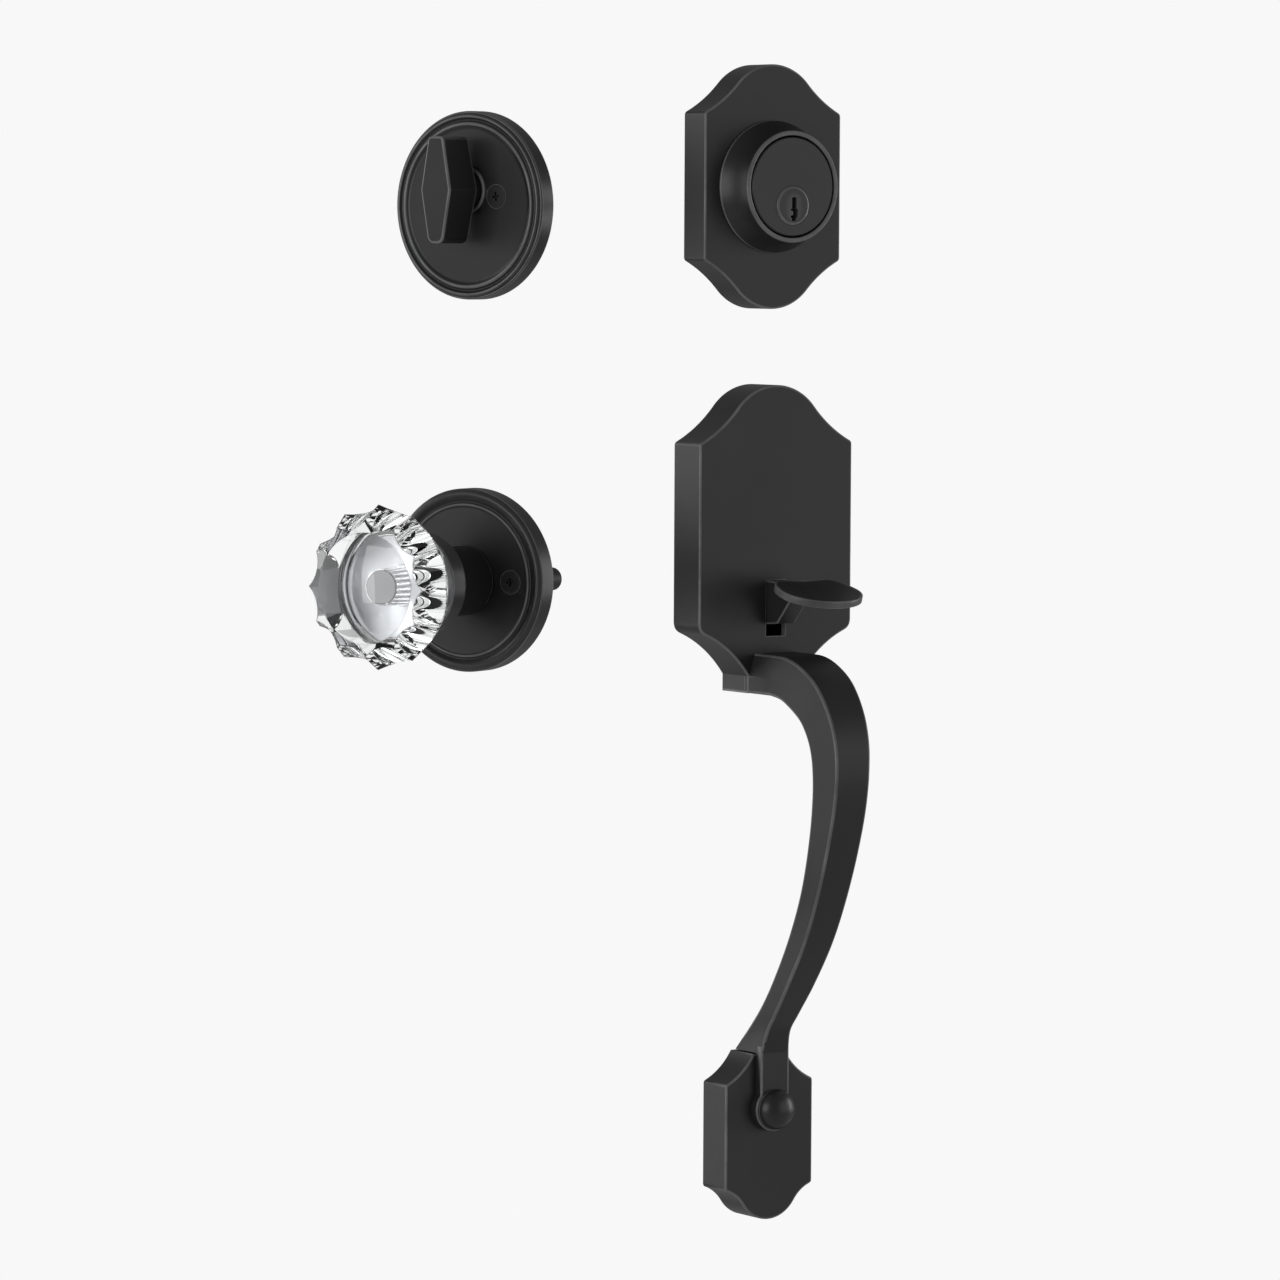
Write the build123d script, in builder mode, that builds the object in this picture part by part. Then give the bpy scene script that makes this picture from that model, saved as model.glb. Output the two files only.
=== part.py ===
from build123d import *
import os
from math import acos, atan2, cos, hypot, radians, sin, tan

os.makedirs("parts", exist_ok=True)

# All sizes are in millimetres. X is to the right and Z is up as seen from outside; Y goes into the door.
# Y = 0 is the door's outer face, and the origin is on the axis of the latch bore.
# A group's own height is measured outward from the door face that it stands on.

# Sizes that the groups share
bore_spacing = 139.7          # latch bore to deadbolt bore
casting_wall = 2.6            # sheet thickness of the hollow castings
edge_round = 0.9              # soft edge around the front of a casting
running_fit = 0.05            # radial play of a part that turns
loose_fit = 0.2               # radial play of a screw or shank that passes through
screw_d = 5.0
screw_thread_d = 4.6          # behind the plates
screw_chamfer = 0.4
screw_head_d = 8.4
screw_head_depth = 1.8
recess_length = 4.4
recess_width = 0.9
plate_thickness = 1.6         # steel backplates

# Outside deadbolt
deadbolt_width = 61.2
deadbolt_half_height = 44.9
deadbolt_corner = 27.0
deadbolt_crown_r = 21.5
deadbolt_hollow_r = 50.0
deadbolt_depth = 13.2
collar_rise = 6.9             # plate and collar centre above the plug's axis
collar_base_d = 48.6
collar_front_d = 41.0
collar_length = 12.5
collar_waist = 0.7            # how far the cone is hollowed
collar_gap = 0.6              # dark groove around the cylinder's face
cylinder_d = 36.3
cylinder_back = -6.0          # rear face, behind the door face
flange_d = 46.0
flange_thickness = 2.5
lug_spacing = 26.6
lug_drop = 2.3                # lugs below the plug's axis
lug_d = 8.0
lug_back = -11.0
thread_hole_d = 4.2
thread_depth = 14.0
post_thread_depth = 22.0
plug_d = 14.6
plug_proud = 0.5
plug_bevel = 0.9
keyway_width = 1.5
keyway_top = 3.2
keyway_shift = 1.3
keyway_depth = 24.0
keyway_notch = 1.7
cap_d = 17.0
cap_thickness = 2.5
cap_gap = 0.2
tailpiece_width = 7.0
tailpiece_thickness = 2.0
tailpiece_reach = 42.0

# Outside handle: plate, grip and tab in one casting
handle_width = 68.7
handle_top_corner = 52.6
handle_apex = 73.8
handle_crown_r = 22.5
handle_hollow_r = 52.0
handle_low_corner = -16.5
handle_corner_r = 4.6
handle_depth = 16.6
tongue_width = 24.4
tongue_shoulder = -33.3
tongue_bottom = -39.6
tongue_hollow = 2.2           # how far the lower edges curve inward
cavity_bottom = -25.0
post_spacing = 40.8
post_d = 9.3
post_back = -12.0
slot_width = 8.8
slot_bottom = -18.8
slot_top = 1.8
ear_width = 3.0
ear_gap = 11.0
ear_radius = 4.6
pivot_height = 6.0            # pivot's height off the door face
pivot_z = -2.0
pivot_d = 4.0
pivot_length = 19.0
cover_thickness = 1.0         # steel cover in the hollow back
cover_back = 0.2
cover_gap = 0.3
arm_opening_width = 9.6
arm_opening_low = -3.8
arm_opening_high = 3.6

# Grip stations from the root to the foot:
# inner edge (height, z), outer edge (height, z), inner width, width at the knee, outer width
grip_stations = [
    ((14.0, -39.6), (14.0, -25.0), 24.4, 24.4, 19.0),
    ((28.0, -39.8), (28.0, -25.0), 22.4, 20.8, 18.7),
    ((33.8, -41.0), (35.0, -25.4), 21.4, 20.2, 18.6),
    ((38.6, -43.4), (42.2, -27.4), 20.8, 19.7, 18.3),
    ((45.6, -48.4), (52.9, -33.6), 20.0, 19.0, 17.6),
    ((49.8, -54.9), (60.9, -43.8), 19.3, 18.1, 16.6),
    ((51.6, -61.0), (64.8, -54.0), 18.8, 17.5, 15.8),
    ((52.2, -67.5), (65.7, -64.5), 18.5, 17.1, 15.2),
    ((51.9, -76.0), (64.4, -77.0), 18.1, 16.8, 15.0),
    ((49.9, -90.0), (60.6, -92.0), 17.6, 16.4, 14.8),
    ((44.7, -109.5), (53.6, -112.1), 16.8, 15.6, 14.1),
    ((36.8, -126.6), (44.9, -130.6), 15.2, 14.5, 13.6),
    ((27.0, -142.9), (33.8, -147.6), 13.9, 13.5, 12.9),
    ((18.0, -155.1), (25.2, -159.2), 12.8, 12.3, 11.6),
    ((10.5, -163.7), (20.6, -165.4), 12.8, 12.1, 11.2),
    ((1.0, -173.6), (18.2, -173.6), 13.0, 12.8, 12.6),
]
knee_along = 0.43             # knee's place between the inner and the outer edge
grip_edge_r = 1.1
tab_width = 12.6
tab_top = -171.0
eye_d = 16.6
foot_z = -194.7

# Lower plate and its domed screw
foot_width = 39.4
foot_depth = 14.6
foot_top = -174.1
foot_top_width = 14.8
foot_top_corner = -184.8
foot_top_hollow = 1.3
foot_low_corner = -224.2
foot_apex = -236.4
foot_crown_r = 14.0
foot_hollow_r = 15.0
boss_d = 11.0
dome_d = 15.0
dome_height = 6.2
dome_step = 0.8
foot_screw_back = -18.0

# Thumb lever
paddle_half_width = 16.7
paddle_reach = 57.2           # tip's height off the door face
paddle_back = 33.0
paddle_back_width = 22.0
paddle_middle = 45.0
paddle_z = -0.6               # top surface at the paddle's middle
paddle_slope = 15.5
paddle_thickness = 2.8
paddle_dish = 1.3
paddle_dish_r = 90.0
stem_width = 8.0
stem_profile = [(31.5, -4.6), (23.0, -13.8), (16.0, -14.4), (5.0, -8.0)]
stem_top = 1.3
hub_r = 4.4
arm_reach = -20.0
arm_low = -3.0
arm_high = 1.0

# Inside thumbturn group, which stands apart in the photograph
thumbturn_place = (-73.2, 71.9, 139.3)
thumbturn_turned = -72.0
thumb_rosette_profile = [
    (35.0, 0.0), (35.0, 6.4), (34.5, 7.1), (34.1, 7.0), (33.7, 7.7), (33.0, 8.2), (32.4, 7.7),
    (31.9, 7.1), (31.3, 7.1), (30.8, 7.9), (30.1, 8.2), (29.3, 7.8), (28.6, 7.2), (0.0, 7.2),
]
rosette_sheet = 1.4
thumb_axis_rise = 5.6
thumb_screw_rise = 3.3
lever_height = 39.5
lever_end_width = 6.9
lever_front_width = 14.0
lever_back_width = 16.4
lever_depth = 14.6
lever_stand = 4.7
lever_end_r = 2.2
lever_edge = 0.7
neck_d = 14.0
boss_r = 8.7
boss_rise = 1.3
journal_d = 12.0
journal_back = -2.2
clip_groove_d = 10.4
clip_d = 16.0
clip_thickness = 1.0
backplate_gap = 0.4
thumb_backplate_d = 58.0
drive_tube_d = 8.6
drive_tube_back = -15.0
thumb_screw_back = -24.0

# Inside knob group, which stands apart in the photograph
knob_place = (-73.6, 72.6, -0.3)
knob_turned = -67.0
knob_rosette_profile = [
    (34.3, 0.0), (34.3, 7.4), (33.7, 8.5), (32.6, 9.1), (31.3, 9.0), (30.3, 8.4), (29.6, 7.9),
    (29.0, 8.0), (28.6, 8.7), (28.1, 8.7), (27.6, 8.2), (0.0, 8.2),
]
knob_backplate_d = 60.0
knob_post_d = 8.6
knob_post_back = -20.0
knob_screw_back = -7.0
knob_thread_bottom = -8.5
knob_neck_d = 26.0
knob_neck_gap = 0.3
bezel_d = 38.4
bezel_back_d = 34.0
bezel_back = 33.0
bezel_front = 43.5
bezel_wall = 1.4
bezel_floor = 2.6
bezel_edge = 0.5
knob_journal_d = 18.0
knob_clip_d = 24.0
knob_clip_groove_d = 16.0
spindle_side = 8.0
spindle_front = 29.0
spindle_back = -30.0
glass_stud_d = 11.0
glass_stud_front = 56.0
glass_points = 12
glass_r = 30.4
glass_valley_r = 26.4
glass_profile = [
    (17.6, 40.0), (17.6, 43.8), (19.0, 43.8), (30.4, 64.3), (30.4, 66.4), (27.0, 71.8),
    (26.2, 72.4), (20.4, 73.2),
]
flute_lean = 25.0             # flutes run inward toward the front
glass_dome_top = 77.0
set_screw_d = 4.0
set_screw_length = 5.0
set_screw_height = 22.0
spring_inner_d = 27.0
spring_outer_d = 32.0
spring_thickness = 1.6
spring_opening = 50.0


def face_plane(place, turned_by):
    """Plane on a door face: x to the right, y up, z out of the door"""
    a = radians(turned_by)
    return Plane(origin=place, x_dir=(cos(a), sin(a), 0), z_dir=(sin(a), -cos(a), 0))


def moved(face, right, up, out=0.0):
    """The same plane, moved within and off itself"""
    return Plane(origin=face.from_local_coords((right, up, out)), x_dir=face.x_dir, z_dir=face.z_dir)


def turned(face, profile):
    """Solid of revolution around a face's normal from corners (radius, height)"""
    section = Plane(origin=face.origin, x_dir=face.x_dir, z_dir=-face.y_dir)
    with BuildPart() as piece:
        with BuildSketch(section):
            with BuildLine():
                Polyline(*profile, close=True)
            make_face()
        revolve(axis=Axis(face.origin, face.z_dir))
    return piece.part


def crown_points(half_width, corner, apex, crown_r, hollow_r):
    """Middle and end of the hollow arc from a corner to where it runs into the crown"""
    crown_y = apex - crown_r
    reach = hypot(half_width, corner - crown_y)
    spread = crown_r + hollow_r
    bearing = atan2(corner - crown_y, half_width)
    bearing += acos((spread**2 + reach**2 - hollow_r**2) / (2 * spread * reach))
    centre = Vector(spread * cos(bearing), crown_y + spread * sin(bearing))
    join = Vector(crown_r * cos(bearing), crown_y + crown_r * sin(bearing))
    toward = (join - centre) + (Vector(half_width, corner) - centre)
    return centre + toward.normalized() * hollow_r, join


def crown_half(half_width, corner, apex, crown_r, hollow_r, up=1):
    """Right-hand half of a crowned end; up is -1 for the lower end"""
    middle, join = crown_points(half_width, up * corner, up * apex, crown_r, hollow_r)
    flip = Vector(1, up)
    ThreePointArc((half_width, corner), (middle.X, flip.Y * middle.Y), (join.X, flip.Y * join.Y))
    half_turn = atan2(join.Y - (up * apex - crown_r), join.X)
    half_turn = (half_turn + radians(90)) / 2
    side = (crown_r * cos(half_turn), up * (up * apex - crown_r + crown_r * sin(half_turn)))
    ThreePointArc((join.X, flip.Y * join.Y), side, (0, apex))


def hollow_arc(start, end, depth):
    """Arc between two corners that bends inward by the depth"""
    a, b = Vector(*start), Vector(*end)
    along = (b - a).normalized()
    ThreePointArc(start, (a + b) / 2 + Vector(along.Y, -along.X) * depth, end)


def deadbolt_outline():
    """Face with the same crown above and below, centred on the collar's axis"""
    half = deadbolt_width / 2
    with BuildSketch() as outline:
        with BuildLine():
            Line((half, 0), (half, deadbolt_corner))
            crown_half(half, deadbolt_corner, deadbolt_half_height, deadbolt_crown_r, deadbolt_hollow_r)
            mirror(about=Plane.YZ)
            mirror(about=Plane.XZ)
        make_face()
    return outline.sketch


def handle_outline():
    """Crowned plate whose lower edges sweep in to the tongue above the grip"""
    half = handle_width / 2
    tongue = tongue_width / 2
    with BuildSketch() as outline:
        with BuildLine():
            crown_half(half, handle_top_corner, handle_apex, handle_crown_r, handle_hollow_r)
            Line((half, handle_top_corner), (half, handle_low_corner))
            hollow_arc((half, handle_low_corner), (tongue, tongue_shoulder), tongue_hollow)
            Line((tongue, tongue_shoulder), (tongue, tongue_bottom))
            Line((tongue, tongue_bottom), (0, tongue_bottom))
            mirror(about=Plane.YZ)
        make_face()
        low = outline.vertices().filter_by(lambda v: abs(v.Y - handle_low_corner) < edge_round)
        fillet(low, handle_corner_r)
    return outline.sketch


def foot_outline():
    """Small plate with a crown below and a tongue above"""
    half = foot_width / 2
    top = foot_top_width / 2
    with BuildSketch() as outline:
        with BuildLine():
            Line((0, foot_top), (top, foot_top))
            hollow_arc((top, foot_top), (half, foot_top_corner), foot_top_hollow)
            Line((half, foot_top_corner), (half, foot_low_corner))
            crown_half(half, foot_low_corner, foot_apex, foot_crown_r, foot_hollow_r, up=-1)
            mirror(about=Plane.YZ)
        make_face()
    return outline.sketch


def shelled_casting(face, outline, depth, keep_above=None):
    """Hollow-backed casting with a soft front edge"""
    front = face.offset(depth)
    with BuildPart() as casting:
        with BuildSketch(face):
            add(outline)
        extrude(amount=depth)
        fillet(casting.faces().sort_by(Axis(face.origin, face.z_dir))[-1].edges(), edge_round)
        with BuildSketch(face):
            add(outline)
            offset(amount=-casting_wall, kind=Kind.INTERSECTION)
            if keep_above is not None:
                with Locations((0, keep_above)):
                    Rectangle(outline.bounding_box().size.X, outline.bounding_box().size.Y,
                              align=(Align.CENTER, Align.MAX), mode=Mode.SUBTRACT)
        extrude(amount=depth - casting_wall, mode=Mode.SUBTRACT)
    return casting.part, front


def drilled(planes, diameter, depth):
    """Round holes into the solid from each plane, against its normal"""
    with BuildSketch(*planes) as hole:
        Circle(diameter / 2)
    extrude(hole.sketch, amount=-depth, mode=Mode.SUBTRACT)


def countersunk_screw(place, top, shoulder, back):
    """Screw with a flush cross-recessed head and a plain shoulder in front of its thread"""
    shank = screw_d / 2
    thread = screw_thread_d / 2
    head = screw_head_d / 2
    slope = top - screw_head_depth
    with BuildPart() as screw:
        add(turned(place, [(0, back), (thread - screw_chamfer, back), (thread, back + screw_chamfer),
                           (thread, shoulder), (shank, shoulder), (shank, slope),
                           (head, top - 0.3), (head, top), (0, top)]))
        with BuildSketch(place.offset(top)):
            Rectangle(recess_length, recess_width)
            Rectangle(recess_width, recess_length)
        extrude(amount=-recess_width, mode=Mode.SUBTRACT)
    return screw.part


def countersink(place, top):
    """Cutter for the screw above, with play all round"""
    shank = screw_d / 2 + running_fit
    head = screw_head_d / 2 + running_fit
    slope = top - screw_head_depth
    return turned(place, [(0, slope - screw_d), (shank, slope - screw_d), (shank, slope),
                          (head, top - 0.3), (head, top + screw_d), (0, top + screw_d)])


def rosette(face, profile):
    """Pressed ring-moulded cover with an even sheet thickness"""
    depth = max(point[1] for point in profile)
    rim = profile[0][0]
    field = profile[-1][1]
    inner = [(0, field - rosette_sheet), (rim - 3 * rosette_sheet, field - rosette_sheet),
             (rim - rosette_sheet, depth - 3 * rosette_sheet), (rim - rosette_sheet, 0)]
    return turned(face, profile + inner)


# Planes of the four groups
deadbolt_face = face_plane((0, 0, bore_spacing), 0)
deadbolt_mid = moved(deadbolt_face, 0, collar_rise)
handle_face = face_plane((0, 0, 0), 0)
thumb_face = face_plane(thumbturn_place, thumbturn_turned)
thumb_axis = moved(thumb_face, 0, thumb_axis_rise)
knob_face = face_plane(knob_place, knob_turned)

# Outside deadbolt plate
cylinder_front = deadbolt_depth + collar_length
with BuildPart() as deadbolt_plate:
    shell, front = shelled_casting(deadbolt_mid, deadbolt_outline(), deadbolt_depth)
    add(shell)
    drilled([front], cylinder_d + 2 * loose_fit, deadbolt_depth)
deadbolt_plate.part.label = "deadbolt_plate"
export_step(deadbolt_plate.part, "parts/deadbolt_plate.step")

# Tapered collar around the cylinder, hollowed a little along its cone
collar_bore_r = cylinder_d / 2 + collar_gap
with BuildPart() as cylinder_collar:
    section = Plane(origin=deadbolt_mid.origin, x_dir=deadbolt_mid.x_dir, z_dir=-deadbolt_mid.y_dir)
    with BuildSketch(section):
        with BuildLine():
            low = (collar_base_d / 2, deadbolt_depth + edge_round)
            high = (collar_front_d / 2, cylinder_front - edge_round / 2)
            waist = ((low[0] + high[0]) / 2 - collar_waist, (low[1] + high[1]) / 2)
            Polyline(low, (low[0], deadbolt_depth), (collar_bore_r, deadbolt_depth),
                     (collar_bore_r, cylinder_front), (high[0] - edge_round / 2, cylinder_front), high)
            ThreePointArc(high, waist, low)
        make_face()
    revolve(axis=Axis(deadbolt_mid.origin, deadbolt_mid.z_dir))
cylinder_collar.part.label = "cylinder_collar"
export_step(cylinder_collar.part, "parts/cylinder_collar.step")

# Lock cylinder: flange behind the plate, bore for the plug and two threaded lugs
flange_front = deadbolt_depth - casting_wall
lugs = [moved(deadbolt_face, side * lug_spacing / 2, -lug_drop, lug_back) for side in (-1, 1)]
with BuildPart() as cylinder_housing:
    add(turned(deadbolt_mid, [
        (0, cylinder_back), (cylinder_d / 2, cylinder_back),
        (cylinder_d / 2, flange_front - flange_thickness), (flange_d / 2, flange_front - flange_thickness),
        (flange_d / 2, flange_front), (cylinder_d / 2, flange_front),
        (cylinder_d / 2, cylinder_front - 0.4), (cylinder_d / 2 - 0.4, cylinder_front), (0, cylinder_front),
    ]))
    with BuildSketch(*lugs):
        Circle(lug_d / 2)
    extrude(amount=flange_front - flange_thickness - lug_back)
    drilled([deadbolt_face.offset(cylinder_front)], plug_d + 2 * running_fit, cylinder_front - cylinder_back)
    with BuildSketch(*lugs):
        Circle(thread_hole_d / 2)
    extrude(amount=thread_depth, mode=Mode.SUBTRACT)
cylinder_housing.part.label = "cylinder_housing"
export_step(cylinder_housing.part, "parts/cylinder_housing.step")

# Turning plug with a stepped keyway
plug_front = cylinder_front + plug_proud
plug_back = cylinder_back - cap_gap
plug_r = plug_d / 2
with BuildPart() as cylinder_plug:
    add(turned(deadbolt_face, [(0, plug_back), (plug_r, plug_back), (plug_r, plug_front - plug_bevel),
                               (plug_r - plug_bevel, plug_front), (0, plug_front)]))
    with BuildSketch(deadbolt_face.offset(plug_front)):
        with BuildLine():
            half = keyway_width / 2
            right = half + keyway_shift
            step = keyway_top / 3
            Polyline((-half, keyway_top), (half, keyway_top), (half, step), (right, 0),
                     (right, -step), (half, -2 * step), (half, -3 * step), (keyway_notch, -3 * step - half),
                     (keyway_notch, -4 * step - half), (half, -plug_r - half), (-half, -plug_r - half),
                     (-half, -4 * step), (-keyway_notch, -3 * step), (-keyway_notch, -2 * step),
                     (-half, -step), close=True)
        make_face()
    extrude(amount=-keyway_depth, mode=Mode.SUBTRACT)
cylinder_plug.part.label = "cylinder_plug"
export_step(cylinder_plug.part, "parts/cylinder_plug.step")

# Cap that keeps the plug in, with a slot for the tailpiece
with BuildPart() as plug_cap:
    with BuildSketch(deadbolt_face.offset(plug_back)):
        Circle(cap_d / 2)
        Rectangle(tailpiece_thickness, tailpiece_width, mode=Mode.SUBTRACT)
    extrude(amount=-cap_thickness)
plug_cap.part.label = "plug_cap"
export_step(plug_cap.part, "parts/plug_cap.step")

# Flat tailpiece that works the bolt
with BuildPart() as deadbolt_tailpiece:
    with BuildSketch(deadbolt_face.offset(plug_back)):
        Rectangle(tailpiece_thickness, tailpiece_width)
    extrude(amount=-(tailpiece_reach + plug_back))
deadbolt_tailpiece.part.label = "deadbolt_tailpiece"
export_step(deadbolt_tailpiece.part, "parts/deadbolt_tailpiece.step")


def grip_section(inner, outer, inner_width, knee_width, outer_width):
    """Rounded section across the grip, wider on the door side, with a knee in each flank"""
    middle = ((inner[0] + outer[0]) / 2, (inner[1] + outer[1]) / 2)
    across = Vector(0, inner[0] - outer[0], outer[1] - inner[1])
    x_dir = Vector(1, 0, 0)
    plane = Plane(origin=(0, -middle[0], middle[1]), x_dir=x_dir, z_dir=x_dir.cross(across))
    half = across.length / 2
    knee = (2 * knee_along - 1) * half
    with BuildSketch(plane) as section:
        with BuildLine():
            Polyline((-inner_width / 2, -half), (inner_width / 2, -half), (knee_width / 2, knee),
                     (outer_width / 2, half), (-outer_width / 2, half), (-knee_width / 2, knee), close=True)
        make_face()
        corners = section.vertices().filter_by(lambda v: abs(plane.to_local_coords(v).Y) > half * 0.9)
        fillet(corners, grip_edge_r)
    return section.sketch


# Handle casting: plate, posts, hinge ears, grip and tab
posts = [moved(handle_face, side * post_spacing / 2, 0, post_back) for side in (-1, 1)]
sheet_back = handle_depth - casting_wall
pivot_axis_plane = Plane(origin=(0, -pivot_height, pivot_z), x_dir=(0, -1, 0), z_dir=(-1, 0, 0))
with BuildPart() as handle_casting:
    shell, front = shelled_casting(handle_face, handle_outline(), handle_depth, cavity_bottom)
    add(shell)
    with BuildSketch(*posts):
        Circle(post_d / 2)
    extrude(amount=sheet_back - post_back)
    for side in (-1, 1):
        with BuildSketch(pivot_axis_plane.offset(side * (ear_gap + ear_width) / 2 - ear_width / 2)):
            Circle(ear_radius)
            with Locations((ear_radius, 0)):
                Rectangle(2 * (sheet_back - pivot_height - ear_radius), 2 * ear_radius)
        extrude(amount=ear_width)
    with BuildSketch(front):
        with Locations((0, (slot_top + slot_bottom) / 2)):
            Rectangle(slot_width, slot_top - slot_bottom)
    extrude(amount=-casting_wall, mode=Mode.SUBTRACT)
    with BuildSketch(*posts):
        Circle(thread_hole_d / 2)
    extrude(amount=post_thread_depth, mode=Mode.SUBTRACT)
    with BuildSketch(pivot_axis_plane.offset(-pivot_length / 2)):
        Circle(pivot_d / 2)
    extrude(amount=pivot_length, mode=Mode.SUBTRACT)
    stations = [grip_section(*station) for station in grip_stations]
    loft(stations[:2], ruled=True)
    loft(stations[1:])
    with BuildSketch(handle_face.offset(foot_depth)):
        with Locations((0, (tab_top + foot_z) / 2)):
            Rectangle(tab_width, tab_top - foot_z)
        with Locations((0, foot_z)):
            Circle(eye_d / 2)
    extrude(amount=grip_stations[-1][1][0] - foot_depth)
    drilled([moved(handle_face, 0, foot_z, foot_depth + eye_d)], screw_d + 2 * loose_fit, eye_d)
handle_casting.part.label = "handle_casting"
export_step(handle_casting.part, "parts/handle_casting.step")

# Steel cover in the casting's hollow back, open for the posts and the latch arm
with BuildPart() as handle_backplate:
    with BuildSketch(handle_face.offset(cover_back)):
        add(handle_outline())
        offset(amount=-(casting_wall + cover_gap), kind=Kind.INTERSECTION)
        with Locations((0, cavity_bottom + cover_gap)):
            Rectangle(handle_width, handle_width, align=(Align.CENTER, Align.MAX), mode=Mode.SUBTRACT)
        with Locations(*[(side * post_spacing / 2, 0) for side in (-1, 1)]):
            Circle(post_d / 2 + cover_gap, mode=Mode.SUBTRACT)
        with Locations((0, (arm_opening_low + arm_opening_high) / 2)):
            Rectangle(arm_opening_width, arm_opening_high - arm_opening_low, mode=Mode.SUBTRACT)
    extrude(amount=cover_thickness)
handle_backplate.part.label = "handle_backplate"
export_step(handle_backplate.part, "parts/handle_backplate.step")

# Pivot pin across the ears
with BuildPart() as thumb_pivot_pin:
    with BuildSketch(pivot_axis_plane.offset(-pivot_length / 2)):
        Circle(pivot_d / 2)
    extrude(amount=pivot_length)
thumb_pivot_pin.part.label = "thumb_pivot_pin"
export_step(thumb_pivot_pin.part, "parts/thumb_pivot_pin.step")

# Thumb lever: dished paddle, wedge stem through the slot, hub and latch arm
slope = radians(paddle_slope)
paddle_plane = Plane(
    origin=(0, -paddle_middle, paddle_z), x_dir=(1, 0, 0), z_dir=(0, -sin(slope), cos(slope)))
with BuildPart() as thumb_lever:
    with BuildSketch(paddle_plane):
        front_y = -(paddle_reach - paddle_middle) / cos(slope)
        back_y = (paddle_middle - paddle_back) / cos(slope)
        with BuildLine():
            EllipticalCenterArc((0, 0), paddle_half_width, -front_y, start_angle=-90, arc_size=90)
            Spline((paddle_half_width, 0), (paddle_back_width / 2, back_y), tangents=[(0, 1), (-1, 0.5)])
            Line((paddle_back_width / 2, back_y), (0, back_y))
            mirror(about=Plane.YZ)
        make_face()
    extrude(amount=-paddle_thickness)
    with BuildSketch(pivot_axis_plane.offset(-stem_width / 2)):
        # x runs outward from the pivot, y runs up
        with BuildLine():
            lift = -pivot_z
            Polyline(*[(h - pivot_height, z + lift) for h, z in stem_profile],
                     (-hub_r, arm_low + lift), (arm_reach - pivot_height, arm_low + lift),
                     (arm_reach - pivot_height, arm_high + lift), (hub_r, arm_high + lift),
                     (paddle_back - pivot_height, stem_top + lift),
                     (paddle_middle - pivot_height, paddle_z - paddle_thickness / 2 + lift), close=True)
        make_face()
    extrude(amount=stem_width)
    with BuildSketch(pivot_axis_plane.offset(-stem_width / 2)):
        Circle(hub_r)
    extrude(amount=stem_width)
    with Locations(paddle_plane.from_local_coords((0, 0, paddle_dish_r - paddle_dish))):
        Sphere(paddle_dish_r, mode=Mode.SUBTRACT)
    with BuildSketch(pivot_axis_plane.offset(-stem_width)):
        Circle(pivot_d / 2 + running_fit)
    extrude(amount=2 * stem_width, mode=Mode.SUBTRACT)
thumb_lever.part.label = "thumb_lever"
export_step(thumb_lever.part, "parts/thumb_lever.step")

# Lower plate with a boss for the domed screw
with BuildPart() as lower_plate:
    shell, front = shelled_casting(handle_face, foot_outline(), foot_depth)
    add(shell)
    with BuildSketch(moved(handle_face, 0, foot_z)):
        Circle(boss_d / 2)
    extrude(amount=foot_depth - casting_wall)
    drilled([moved(handle_face, 0, foot_z, foot_depth)], screw_d + 2 * loose_fit, foot_depth)
lower_plate.part.label = "lower_plate"
export_step(lower_plate.part, "parts/lower_plate.step")

# Domed screw through the tab and the lower plate
tab_front = grip_stations[-1][1][0]
with BuildPart() as foot_dome_screw:
    foot_plane = moved(handle_face, 0, foot_z)
    section = Plane(origin=foot_plane.origin, x_dir=foot_plane.x_dir, z_dir=-foot_plane.y_dir)
    with BuildSketch(section):
        with BuildLine():
            rim = (dome_d / 2, tab_front + dome_step)
            shoulder = (dome_d / 2 * cos(radians(45)), tab_front + dome_step
                        + (dome_height - dome_step) * sin(radians(45)))
            Polyline(rim, (dome_d / 2, tab_front), (screw_d / 2, tab_front), (screw_d / 2, 0),
                     (screw_thread_d / 2, 0), (screw_thread_d / 2, foot_screw_back),
                     (0, foot_screw_back), (0, tab_front + dome_height))
            ThreePointArc((0, tab_front + dome_height), shoulder, rim)
        make_face()
    revolve(axis=Axis(foot_plane.origin, foot_plane.z_dir))
foot_dome_screw.part.label = "foot_dome_screw"
export_step(foot_dome_screw.part, "parts/foot_dome_screw.step")

# Inside thumbturn: ring-moulded rosette
thumb_field = thumb_rosette_profile[-1][1]
thumb_screws = [moved(thumb_face, side * lug_spacing / 2, thumb_screw_rise) for side in (-1, 1)]
with BuildPart() as thumbturn_rosette:
    add(rosette(thumb_face, thumb_rosette_profile))
    boss_top = thumb_field + boss_rise
    add(turned(thumb_axis, [(0, thumb_field - rosette_sheet), (boss_r, thumb_field - rosette_sheet),
                            (boss_r, boss_top - boss_rise / 2), (boss_r - boss_rise / 2, boss_top), (0, boss_top)]))
    drilled([thumb_axis.offset(boss_top)], neck_d + 4 * loose_fit, boss_top)
    for place in thumb_screws:
        add(countersink(place, thumb_field + 0.2), mode=Mode.SUBTRACT)
thumbturn_rosette.part.label = "thumbturn_rosette"
export_step(thumbturn_rosette.part, "parts/thumbturn_rosette.step")

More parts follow.
